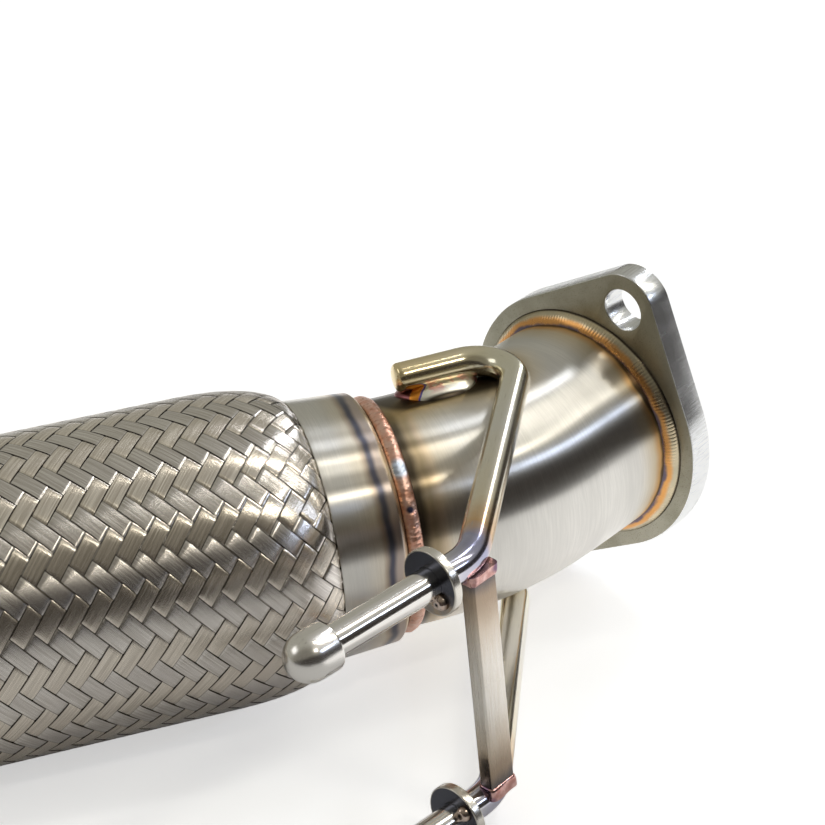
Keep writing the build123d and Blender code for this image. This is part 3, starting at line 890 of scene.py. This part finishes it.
copper_bead = butt_steel()
for end, middle in (("outlet", flex_start - BUTT_GAP / 2), ("inlet", flex_end + BUTT_GAP / 2)):
    bead = girdle(end + "_butt_bead", butt_outline(middle), 900, coarse_ripples(middle), 50)
    fitted(bead, copper_bead, "copper_weld", end + "_butt_weld")


# Hanger rods
# Round bar, bent twice: a short leg welded along the pipe, a long leg to the elbow, and a straight tip
# with a domed head for the rubber. The tip is polished, its head is a little duller, and the rest
# carries heat tint.
ROD_R = 5.0 * MM
ROD_Z = 43.1 * MM
KNEE_BEND_R = 13.0 * MM
ELBOW_BEND_R = 22.0 * MM
TIP_ANGLE = math.radians(176.3)
TIP_LEG_LEN = 56.3 * MM
HEAD_R = 7.5 * MM
HEAD_LEN = 15.5 * MM
HEAD_NECK = 1.2 * MM
ROD_ENDS = {1: np.array([-80.8, 20.5]) * MM, -1: np.array([-84.3, 22.4]) * MM}
ROD_KNEES = {1: np.array([-39.3, 0.4]) * MM, -1: np.array([-42.8, 2.35]) * MM}
ELBOWS = {1: np.array([-144.4, -67.2]) * MM, -1: np.array([-142.1, -69.8]) * MM}
SIDES = (("upper", 1), ("lower", -1))

tip_way = np.array([math.cos(TIP_ANGLE), math.sin(TIP_ANGLE)])
tip_ahead = np.append(tip_way, 0.0)
tip_level = np.array([tip_way[1], -tip_way[0], 0.0])


def bent_line(corners, radii, step):
    """Flat line through the corners with its bends as circular arcs that touch both legs. Gives the
    points and the directions along it, step apart."""
    points, ways = [], []
    at = corners[0]
    for index, corner in enumerate(corners[1:]):
        way = (corner - at) / np.linalg.norm(corner - at)
        stop = corner
        if index < len(radii):
            after = corners[index + 2] - corner
            after = after / np.linalg.norm(after)
            turn = math.atan2(way[0] * after[1] - way[1] * after[0], way @ after)
            stop = corner - way * radii[index] * abs(math.tan(turn / 2))
        t = np.arange(0, np.linalg.norm(stop - at), step)[:, None]
        points.append(at + way * t)
        ways.append(np.broadcast_to(way, (len(t), 2)))
        if index < len(radii):
            side = math.copysign(1, turn) * np.array([-way[1], way[0]])
            swing = np.arange(0, abs(turn), step / radii[index])[:, None]
            points.append(stop + radii[index] * (np.sin(swing) * way + (1 - np.cos(swing)) * side))
            ways.append(np.cos(swing) * way + np.sin(swing) * side)
            stop = corner + after * radii[index] * abs(math.tan(turn / 2))
        at = stop
    return np.concatenate(points + [at[None]]), np.concatenate(ways + [way[None]])


def rod(side_name, side):
    """Round bar carried along the bent line: the radius is the bar's, rounded off at the melted end,
    and past the tip leg it follows the head's neck, barrel and dome."""
    corners = [ROD_ENDS[side], ROD_KNEES[side], ELBOWS[side], ELBOWS[side] + tip_way * TIP_LEG_LEN]
    line, ways = bent_line(corners, (KNEE_BEND_R, ELBOW_BEND_R), 1.2 * MM)
    distance = np.append(0, np.cumsum(np.linalg.norm(np.diff(line, axis=0), axis=1)))
    melt = np.array([0.0, 0.15, 0.5, 1.1, 1.9]) * MM
    keep = distance > 2.4 * MM
    start = corners[0] + ways[0] * melt[:, None]
    dome = np.linspace(0, np.pi / 2, 14)
    top = HEAD_LEN - HEAD_R
    past = [0.02 * MM, HEAD_NECK * 0.4, HEAD_NECK * 0.8, HEAD_NECK, HEAD_NECK + 0.6 * MM, top - 0.5 * MM]
    past = np.concatenate([past, top + HEAD_R * np.sin(dome)])
    barrel = [ROD_R + 0.02 * MM, HEAD_R - 1.1 * MM, HEAD_R - 0.35 * MM, HEAD_R - 0.12 * MM, HEAD_R, HEAD_R]
    head_r = np.concatenate([barrel, HEAD_R * np.cos(dome)])
    head_r[-1] = 0.15 * MM
    melt_r = ROD_R * np.array([0.08, 0.55, 0.83, 0.96, 1.0])
    line = np.concatenate([start, line[keep], corners[-1] + tip_way * past[:, None]])
    first_ways = np.tile(ways[0], (len(melt), 1))
    ways = np.concatenate([first_ways, ways[keep], np.tile(tip_way, (len(past), 1))])
    radius = np.concatenate([melt_r, np.full(keep.sum(), ROD_R), head_r])
    run = np.concatenate([melt, distance[keep], distance[-1] + past])
    angle = full_turn(56)
    level = np.stack([-ways[:, 1], ways[:, 0], np.zeros(len(ways))], -1)
    centre = np.stack([line[:, 0], line[:, 1], np.full(len(line), side * ROD_Z)], -1)
    ring = np.cos(angle)[None, :, None] * level[:, None, :] + np.sin(angle)[None, :, None] * UP
    points = centre[:, None, :] + radius[:, None, None] * ring
    straight = laid_straight(run[:, None], radius[:, None], angle)
    flow = flow_round(run, len(angle), ROD_R)
    return skin(side_name + "_hanger", points, flow, straight, True, 40), distance[-1]


def rod_steel(run_to_tip):
    """Bright bar: gold by its weld, grey with straw on the long leg, orange and blue at the elbow, and
    clean polished steel on the tip. The head is a little duller."""
    material, tree, shader = metal("hanger rod, polished", 0.12)
    place = laid_out(tree)
    along = parts(tree, place)[0]
    run = plus(tree, along, times(tree, grain(tree, place, EVEN, 90.0, 2.0), 16 * MM, -8 * MM))
    clean = run_to_tip - TIP_LEG_LEN
    elbow = clean / run_to_tip
    colour = ramp(tree, sums(tree, "DIVIDE", run, run_to_tip), [
        (0.0, (0.85, 0.70, 0.42)),
        (0.09, (0.81, 0.71, 0.48)),
        (0.20, (0.80, 0.76, 0.62)),
        (0.40, (0.80, 0.77, 0.71)),
        (elbow - 0.12, (0.82, 0.74, 0.58)),
        (elbow - 0.05, (0.70, 0.46, 0.25)),
        (elbow - 0.01, (0.40, 0.40, 0.56)),
        (elbow + 0.09, (0.82, 0.79, 0.76)),
    ])
    scratches = grain(tree, place, (0.06, 1.0, 1.0), 2400.0)
    colour = stained(tree, colour, (scratches, 0.6, 0.8, (0.5, 0.47, 0.43)))
    dull = times(tree, share(tree, along, clean + 8 * MM, clean - 4 * MM), 0.05, 0.09)
    dull = times(tree, share(tree, along, run_to_tip, run_to_tip + 2 * MM), 0.10, dull)
    finish(tree, shader, colour, scratches, 0.10, dull)
    relief(tree, shader, scratches, 0.006 * MM)
    return material


for side_name, side in SIDES:
    hanger, run_to_tip = rod(side_name, side)
    if side_name == "upper":
        bar_steel = rod_steel(run_to_tip)
    fitted(hanger, bar_steel, "polished_rod", side_name + "_hanger_rod")


# Hanger welds
# Fillets run along both sides of each rod's first leg and down onto the pipe, like a long lens of
# bright metal with a pink middle, burnt orange and purple where the run began.
HANGER_WELD_LEN = 29.0 * MM
HANGER_WELD_W = 22.0 * MM
HANGER_WELD_H = 3.6 * MM


def hanger_pool(side_name, side):
    """Closed lens along the leg: its half width is a rounded oval of the distance along it, and its
    height over the pipe falls as a rounded bow from the rod's flank to the toes. Its underside is
    sunk in the pipe's wall."""
    end = ROD_ENDS[side]
    way = (ROD_KNEES[side] - end) / np.linalg.norm(ROD_KNEES[side] - end)
    level = np.array([-way[1], way[0]])
    t = np.linspace(-1, 1, 90)
    run = HANGER_WELD_LEN * (0.5 + 0.5 * t)
    half = HANGER_WELD_W / 2 * np.maximum(1 - np.abs(t) ** 2.4, 0.0004) ** 0.6
    w = np.concatenate([np.linspace(-1, 1, 41), np.linspace(0.9, -0.9, 9)])
    under = np.arange(len(w)) >= 41
    spread = half[:, None] * w[None, :]
    flat = end + run[:, None, None] * way + spread[..., None] * level
    ripples = 0.04 * MM * np.sin(run[:, None] / (1.15 * MM) + 2.5 * w[None, :] ** 2)
    bow = (1 - w[None, :] ** 2) ** 0.7
    height = (HANGER_WELD_H * (half[:, None] / (HANGER_WELD_W / 2)) + ripples) * bow
    height = np.where(under[None, :], -0.5 * MM, height - 0.05 * MM)
    up = np.sqrt(np.maximum(PIPE_R**2 - off_line(flat) ** 2, 0)) + height
    points = np.concatenate([flat, (side * up)[..., None]], -1)
    straight = np.stack([np.broadcast_to(run[:, None], spread.shape), spread, up], -1)
    return skin(side_name + "_hanger_fillets", points, flow_of(straight), straight, True, 60)


def off_line(flat):
    """Level distance of flat points from the pipe's centre line."""
    line = centre_line(np.linspace(0, flex_start, 400))[0]
    return np.linalg.norm(flat[..., None, :] - line[:, :2], axis=-1).min(-1)


def flow_of(straight):
    """UV grid of a capped piece, from the first two numbers of its places laid out straight."""
    return np.concatenate([straight[..., :2], straight[:, :1, :2]], 1)


def pool_steel():
    """Bright weld metal: cream with pink clouds. Where the run began it is dark purple, then orange up
    to a dark blue line, and along the toes it turns nearly black."""
    material, tree, shader = metal("hanger weld, bright", 0.30)
    place = laid_out(tree)
    along, level, _ = parts(tree, place)
    aside = unsigned(tree, level)
    clouds = grain(tree, place, EVEN, 160.0)
    run = plus(tree, plus(tree, along, times(tree, clouds, 3 * MM, -1.5 * MM)), aside)
    reach = sums(tree, "DIVIDE", aside, HANGER_WELD_W / 2)
    pink = times(tree, share(tree, clouds, 0.48, 0.6), share(tree, reach, 0.9, 0.6))
    colour = over(tree, pink, (0.97, 0.94, 0.84), (0.88, 0.52, 0.48))
    layers = [(run, 14.2 * MM, 13.8 * MM, (0.16, 0.15, 0.50))]
    layers += [(run, 13.4 * MM, 12.6 * MM, (0.92, 0.36, 0.06))]
    # The colour turns nearly black along the toes, where reach nears 1.
    layers += [(run, 9.0 * MM, 8.0 * MM, (0.24, 0.09, 0.10)), (reach, 0.80, 0.92, SOOT_AND_SHADE)]
    finish(tree, shader, stained(tree, colour, *layers), clouds, 0.2, 0.22)
    return material


pool_metal = pool_steel()
for side_name, side in SIDES:
    fitted(hanger_pool(side_name, side), pool_metal, "bright_weld", side_name + "_hanger_weld")


# Stop discs and their tacks
# A flat washer sits on each rod just past its elbow, held by a round tack weld. The washer is darkened
# blue and black over its upper part, partly as burn from the arc and partly as painted shade.
DISC_R = 10.5 * MM
DISC_T = 3.0 * MM
DISC_PLACE = 15.8 * MM
TACK_R = 2.6 * MM
TACK_ANGLE = math.radians(223.0)


def tip_point(side, distance):
    """Point in the middle of a rod's tip leg, a distance past its elbow."""
    return np.append(ELBOWS[side] + tip_way * distance, side * ROD_Z)


def turned_ring(name, outline, columns, distance, side):
    """Closed ring turned about the rod's tip leg, from an outline of (distance along the leg,
    radius)."""
    angle = full_turn(columns)
    run, radius = outline[:, :1], outline[:, 1:]
    ring = np.cos(angle)[None, :, None] * UP + np.sin(angle)[None, :, None] * tip_level
    points = tip_point(side, distance) + run[..., None] * tip_ahead + radius[..., None] * ring
    flow = flow_round(np.append(run, run[0]), columns, DISC_R)
    return skin(name, points, flow, laid_straight(run, radius, angle), sharp=40)


def disc_steel():
    """Washer steel: grey and brown, blue-black over its upper part as burn and painted shade, with a lighter
    rim.
    """
    material, tree, shader = metal("stop disc", 0.26)
    place = laid_out(tree)
    _, up, level = parts(tree, place)
    clouds = grain(tree, place, EVEN, 240.0)
    # Burn and painted shade: the face goes blue-black over its upper part, by height and not by distance
    # from the tack.
    burn_and_shade = plus(tree, times(tree, clouds, 8 * MM), up)
    out = length(tree, 0.0, up, level)
    layers = [(clouds, 0.3, 0.7, (0.36, 0.34, 0.33)), (burn_and_shade, -4 * MM, 4 * MM, (0.09, 0.095, 0.12))]
    layers += [(out, 9.9 * MM, 10.3 * MM, (0.76, 0.72, 0.66))]
    tree.links.new(stained(tree, (0.50, 0.40, 0.30), *layers), shader.inputs["Base Color"])
    relief(tree, shader, clouds, 0.05 * MM)
    return material


def tack_form(name, side):
    """Small dome on the washer's outer face against the rod: a ball pushed in at the top into a
    shallow crater, with its foot spread."""
    polar = np.linspace(0.02, 1, 16)[:, None] * np.pi / 2 * 1.15
    turn = full_turn(40)[None, :]
    crater = 0.22 * np.exp(-((polar / 0.35) ** 2))
    lumps = 1 + 0.05 * np.sin(3 * turn + 1) * np.sin(polar)
    radius = TACK_R * (1 - crater) * lumps
    angle = TACK_ANGLE * side
    aside = math.sin(angle) * UP + math.cos(angle) * tip_level
    centre = tip_point(side, DISC_PLACE + DISC_T / 2) + (ROD_R + TACK_R / 2) * aside
    ring = np.cos(turn)[..., None] * UP + np.sin(turn)[..., None] * tip_level
    ahead, out = radius * np.cos(polar), radius * np.sin(polar)
    points = centre + out[..., None] * ring + ahead[..., None] * tip_ahead
    straight = np.stack([ahead, out, 0 * radius], -1)
    return skin(name, points, flow_of(straight), straight, True, 60)


def tack_steel():
    """Tack: pink and silver weld metal with a dark crater."""
    material, tree, shader = metal("disc tack", 0.2)
    place = laid_out(tree)
    out = parts(tree, place)[1]
    layers = [(grain(tree, place, EVEN, 700.0), 0.3, 0.7, (0.66, 0.63, 0.60))]
    layers += [(out, 0.9 * MM, 0.3 * MM, (0.06, 0.05, 0.05)), (out, 2.2 * MM, 2.7 * MM, (0.20, 0.14, 0.10))]
    tree.links.new(stained(tree, (0.72, 0.56, 0.48), *layers), shader.inputs["Base Color"])
    return material


washer_outline = round_off(
    [(-DISC_T / 2, ROD_R), (-DISC_T / 2, DISC_R), (DISC_T / 2, DISC_R), (DISC_T / 2, ROD_R)], 0.35 * MM, 5
)
washer_steel = disc_steel()
tack_metal = tack_steel()
for side_name, side in SIDES:
    disc = turned_ring(side_name + "_disc", refine(washer_outline, 0.9 * MM), 96, DISC_PLACE, side)
    fitted(disc, washer_steel, "disc_plate", side_name + "_stop_disc")
    fitted(tack_form(side_name + "_tack", side), tack_metal, "bright_weld", side_name + "_disc_tack")


# Brace
# A flat bar ties the two rods under their elbows, with a bead round each of its ends.
BAR_W = 10.5 * MM
BAR_T = 5.2 * MM
BAR_EDGE_R = 1.0 * MM
BAR_OFFSET = np.array([-0.3, -2.1]) * MM
BAR_HALF = 40.3 * MM
BRACE_BEAD = 1.6 * MM
BRACE_BEAD_H = 4.0 * MM
BAR_HEAT = (
    (12, 34, (0.56, 0.45, 0.34), 0.85),
    (8, 20, (0.34, 0.25, 0.18), 0.8),
    (3, 9, (0.13, 0.12, 0.13), 0.85),
)


def bar_section(grow, steps=7):
    """Rounded rectangle of the bar's section, grown outwards by grow: corner arcs joined by flats."""
    corner = BAR_EDGE_R + grow
    arcs = []
    for quarter in range(4):
        angle = np.linspace(0, np.pi / 2, steps) + quarter * np.pi / 2
        x = math.copysign(BAR_W / 2 - BAR_EDGE_R, math.cos(quarter * np.pi / 2 + 0.7))
        y = math.copysign(BAR_T / 2 - BAR_EDGE_R, math.sin(quarter * np.pi / 2 + 0.7))
        arcs.append(np.stack([x + corner * np.cos(angle), y + corner * np.sin(angle)], -1))
    return np.concatenate(arcs)


def bar_middle(z):
    """Middle of the bar at heights z: a straight line from beside one elbow to beside the other."""
    share_up = (0.5 + 0.5 * z / ROD_Z)[:, None]
    return BAR_OFFSET + ELBOWS[-1] * (1 - share_up) + ELBOWS[1] * share_up


def raised(flat, z):
    """Rows of flat points set at their heights z."""
    return np.concatenate([flat, np.broadcast_to(z[:, None, None], (*flat.shape[:2], 1))], -1)


def flat_bar():
    """The section carried from one rod to the other."""
    section = bar_section(0.0)
    z = np.linspace(-BAR_HALF, BAR_HALF, 60)
    flat = bar_middle(z)[:, None, :] + section
    points = raised(flat, z)
    girth = np.append(0, np.cumsum(np.linalg.norm(np.diff(section, axis=0, append=section[:1]), axis=1)))
    flow = np.stack(np.broadcast_arrays(z[:, None], girth[None, :]), -1)
    straight = points - np.append(bar_middle(z), np.zeros((len(z), 1)), 1)[:, None, :]
    return skin("tie_bar", points, flow, straight, True, 60)


def bar_finish():
    """Satin bar: cream steel brushed lengthwise, then brown and nearly black toward each weld."""
    material, tree, shader = metal("tie bar, satin", 0.28, 0.5, 0.25)
    place = laid_out(tree)
    lines = grain(tree, place, (1.0, 1.0, 0.05), 1800.0)
    uneven = grain(tree, place, (1.0, 1.0, 0.4), 150.0, 2.0)
    run = minus(tree, BAR_HALF, unsigned(tree, parts(tree, place)[2]))
    run = plus(tree, run, times(tree, uneven, 6 * MM, -3 * MM))
    colour = stained(tree, (0.72, 0.67, 0.60), (lines, 0.3, 0.7, (0.82, 0.78, 0.73)))
    finish(tree, shader, heat(tree, colour, run, BAR_HEAT), lines, 0.16, 0.2)
    relief(tree, shader, lines, 0.015 * MM)
    return material


def brace_bead(side_name, side):
    """Bead round the bar's end: the bar's section grown by a quarter oval from nothing at its lower
    edge to its full size at the rod, with lumps round it."""
    t = np.linspace(0, 1, 24)
    z = ROD_Z - ROD_R + 1 * MM + BRACE_BEAD_H * (0.5 - t)
    plain = refine(bar_section(0.0), 0.25 * MM)
    out = np.roll(plain, -1, 0) - np.roll(plain, 1, 0)
    out = np.stack([out[:, 1], -out[:, 0]], -1) / np.linalg.norm(out, axis=1)[:, None]
    turn = full_turn(len(plain))
    rings = []
    for place in t:
        lump = 0.64 + 0.12 * np.sin(2 * turn + 0.6 + place) + 0.05 * np.sin(5 * turn)
        grow = BRACE_BEAD * math.sqrt(max(0.0, 1 - place**2)) * lump - 0.05 * MM
        rings.append(plain + out * grow[:, None])
    rings = np.stack(rings)
    points = raised(bar_middle(side * z)[:, None, :] + rings, side * z)
    straight = raised(rings, side * z)
    return skin(side_name + "_brace_bead", points, flow_of(straight), straight, True, 60)


def pink_bead_steel():
    """Small bead: glossy pink weld metal with violet and dark clouds."""
    material, tree, shader = metal("brace bead, pink", 0.2)
    place = in_place(tree)
    clouds = grain(tree, place, EVEN, 420.0)
    stains = (grain(tree, place, EVEN, 190.0, 1.0), 0.52, 0.72, (0.22, 0.13, 0.20))
    colour = stained(tree, (0.78, 0.50, 0.46), (clouds, 0.3, 0.7, (0.52, 0.26, 0.23)), stains)
    finish(tree, shader, colour, clouds, 0.2, 0.1)
    relief(tree, shader, clouds, 0.05 * MM)
    return material


fitted(flat_bar(), bar_finish(), "satin_bar", "brace_bar")
pink_bead = pink_bead_steel()
for side_name, side in SIDES:
    fitted(brace_bead(side_name, side), pink_bead, "copper_weld", "brace_" + side_name + "_bead")


# Floor and light
# The part lies on a plain white floor that its three lowest points touch, inside a grey tent that is
# bright high on the right and dark low on the near side. Six soft lights hang in the tent. Seen in the
# metal, the floor's glow fades out under the braid, as painted shade.
FEET = ((-4.75, 18.1, -62.8), (-314.5, 142.5, -47.5), (-203.0, -66.0, -50.6))
HEADING = Vector((0.7266, 0.6870, 0.0))
RIGHTWARD = Vector((0.6870, -0.7266, 0.0))
UPWARD = Vector((0.0, 0.0, 1.0))
TENT_R = 8.0
LIGHT_AWAY = 6.0
TENT_CENTRE = Vector((-0.10, 0.03, -0.03))
FLOOR_HALF = 0.85
FLOOR_DROP = 0.3 * MM
FLOOR_GLOW = 0.55

feet = [Vector(foot) * MM for foot in FEET]
floor_up = (feet[1] - feet[0]).cross(feet[2] - feet[0]).normalized()
floor_up = floor_up if floor_up.z > 0 else -floor_up
floor_mesh = bpy.data.meshes.new("floor")
floor_turn = floor_up.to_track_quat("Z", "Y").to_matrix().to_4x4()
corners = [(x * FLOOR_HALF, y * FLOOR_HALF, 0.0) for x, y in ((-1, -1), (1, -1), (1, 1), (-1, 1))]
floor_mesh.from_pydata(corners, [], [(0, 1, 2, 3)])
floor_mesh.transform(Matrix.Translation(feet[0] - floor_up * FLOOR_DROP) @ floor_turn)
floor = placed("floor", floor_mesh)


def seen(tree, gloss):
    """1 for rays from the camera and through glass, gloss for rays of gloss, and 0 for others."""
    path = node(tree, "ShaderNodeLightPath").outputs
    some = sums(tree, "MAXIMUM", path["Is Camera Ray"], times(tree, path["Is Glossy Ray"], gloss))
    return sums(tree, "MAXIMUM", some, path["Is Transmission Ray"])


def painted(piece, name):
    """New material on a piece of the stage. Gives its node tree."""
    material = bpy.data.materials.new(name)
    material.use_nodes = True
    piece.data.materials.append(material)
    return material.node_tree


tree = painted(floor, "floor paint")
shader = tree.nodes["Principled BSDF"]
shader.inputs["Base Color"].default_value = (0.86, 0.87, 0.90, 1.0)
shader.inputs["Roughness"].default_value = 0.7
shader.inputs["Specular IOR Level"].default_value = 0.2
glow = node(tree, "ShaderNodeEmission", Color=(1.0, 1.0, 1.0, 1.0))
# Painted shade: in reflections the floor's glow fades out beyond x = -0.13 m, under the braid, so the metal
# there mirrors a darker floor.
gloss = share(tree, parts(tree, in_place(tree))[0], -0.13, -0.07)
tree.links.new(times(tree, seen(tree, gloss), FLOOR_GLOW), glow.inputs["Strength"])
both = node(tree, "ShaderNodeAddShader", _0=shader.outputs[0], _1=glow.outputs[0])
tree.links.new(both.outputs[0], tree.nodes["Material Output"].inputs["Surface"])

world = bpy.data.worlds.new("world")
bpy.context.scene.world = world
world.use_nodes = True
tree = world.node_tree
backdrop = tree.nodes["Background"]
backdrop.inputs["Color"].default_value = (1.0, 1.0, 1.0, 1.0)
tree.links.new(seen(tree, 1.0), backdrop.inputs["Strength"])


def toward(azimuth, elevation):
    """Direction by degrees to the right of the camera's heading, and degrees above the horizon."""
    azimuth, elevation = math.radians(azimuth), math.radians(elevation)
    level = HEADING * math.cos(azimuth) + RIGHTWARD * math.sin(azimuth)
    return level * math.cos(elevation) + UPWARD * math.sin(elevation)


tent_mesh = bpy.data.meshes.new("tent")
form = bmesh.new()
bmesh.ops.create_uvsphere(form, u_segments=48, v_segments=32, radius=TENT_R)
form.to_mesh(tent_mesh)
form.free()
tent_mesh.transform(Matrix.Translation(TENT_CENTRE))
tent = placed("tent", tent_mesh)
tent.visible_camera = False
tree = painted(tent, "tent cloth")
tree.nodes.remove(tree.nodes["Principled BSDF"])
way = node(tree, "ShaderNodeVectorMath", {"operation": "SUBTRACT"}, _0=in_place(tree), _1=TENT_CENTRE)
way = node(tree, "ShaderNodeVectorMath", {"operation": "NORMALIZE"}, _0=way.outputs[0]).outputs[0]
dots = [
    node(tree, "ShaderNodeVectorMath", {"operation": "DOT_PRODUCT"}, _0=way, _1=axis).outputs["Value"]
    for axis in (HEADING, RIGHTWARD, toward(60, 48))
]
behind = sums(tree, "MAXIMUM", times(tree, dots[0], -1.0), 0.0)
edge = plus(tree, times(tree, behind, 0.62, -0.04), times(tree, dots[1], 0.33))
over_edge = minus(tree, parts(tree, way)[2], edge)
layers = [(dots[2], 0.68, 0.95, (0.43, 0.425, 0.39)), (dots[0], -0.1, -0.5, (0.20, 0.19, 0.16))]
cloth = stained(tree, (0.36, 0.355, 0.305), *layers, (over_edge, 0.08, -0.04, (0.045, 0.04, 0.036)))
glow = node(tree, "ShaderNodeEmission", Color=cloth, Strength=1.0)
tree.links.new(glow.outputs[0], tree.nodes["Material Output"].inputs["Surface"])


def soft_light(name, start, end, width, brightness, colour):
    """Long soft light between two places in the tent, given as (degrees right, degrees up), with its
    width in degrees and its brightness as a multiple of white."""
    places = [TENT_CENTRE + LIGHT_AWAY * toward(*place) for place in (start, end)]
    run = places[1] - places[0]
    middle = (places[0] + places[1]) / 2
    data = bpy.data.lights.new(name, "AREA")
    data.shape = "RECTANGLE"
    data.size = run.length
    data.size_y = LIGHT_AWAY * math.radians(width)
    data.energy = brightness * math.pi * data.size * data.size_y
    data.color = colour
    light = placed(name, data)
    down = (TENT_CENTRE - middle).normalized()
    x = (run - run.dot(down) * down).normalized()
    turned = Matrix((x, (-down).cross(x), -down)).transposed().to_4x4()
    light.matrix_world = Matrix.Translation(middle) @ turned
    light.visible_camera = False


soft_light("back strip", (27, 10), (33, 33), 4.5, 9.0, (0.90, 0.94, 1.0))
soft_light("high strip", (36, 46), (47, 53), 5.0, 12.0, (0.90, 0.94, 1.0))
soft_light("right strip", (78, 34), (66, 70), 3.8, 10.5, (1.0, 0.97, 0.88))
soft_light("near strip", (117, 47.5), (133, 51.5), 4.2, 18.0, (1.0, 0.96, 0.84))
soft_light("low strip", (92, 26), (108, 31), 3.0, 12.0, (0.66, 0.77, 1.0))
soft_light("left box", (-110, 34), (-80, 34), 20.0, 1.2, (1.0, 1.0, 1.0))
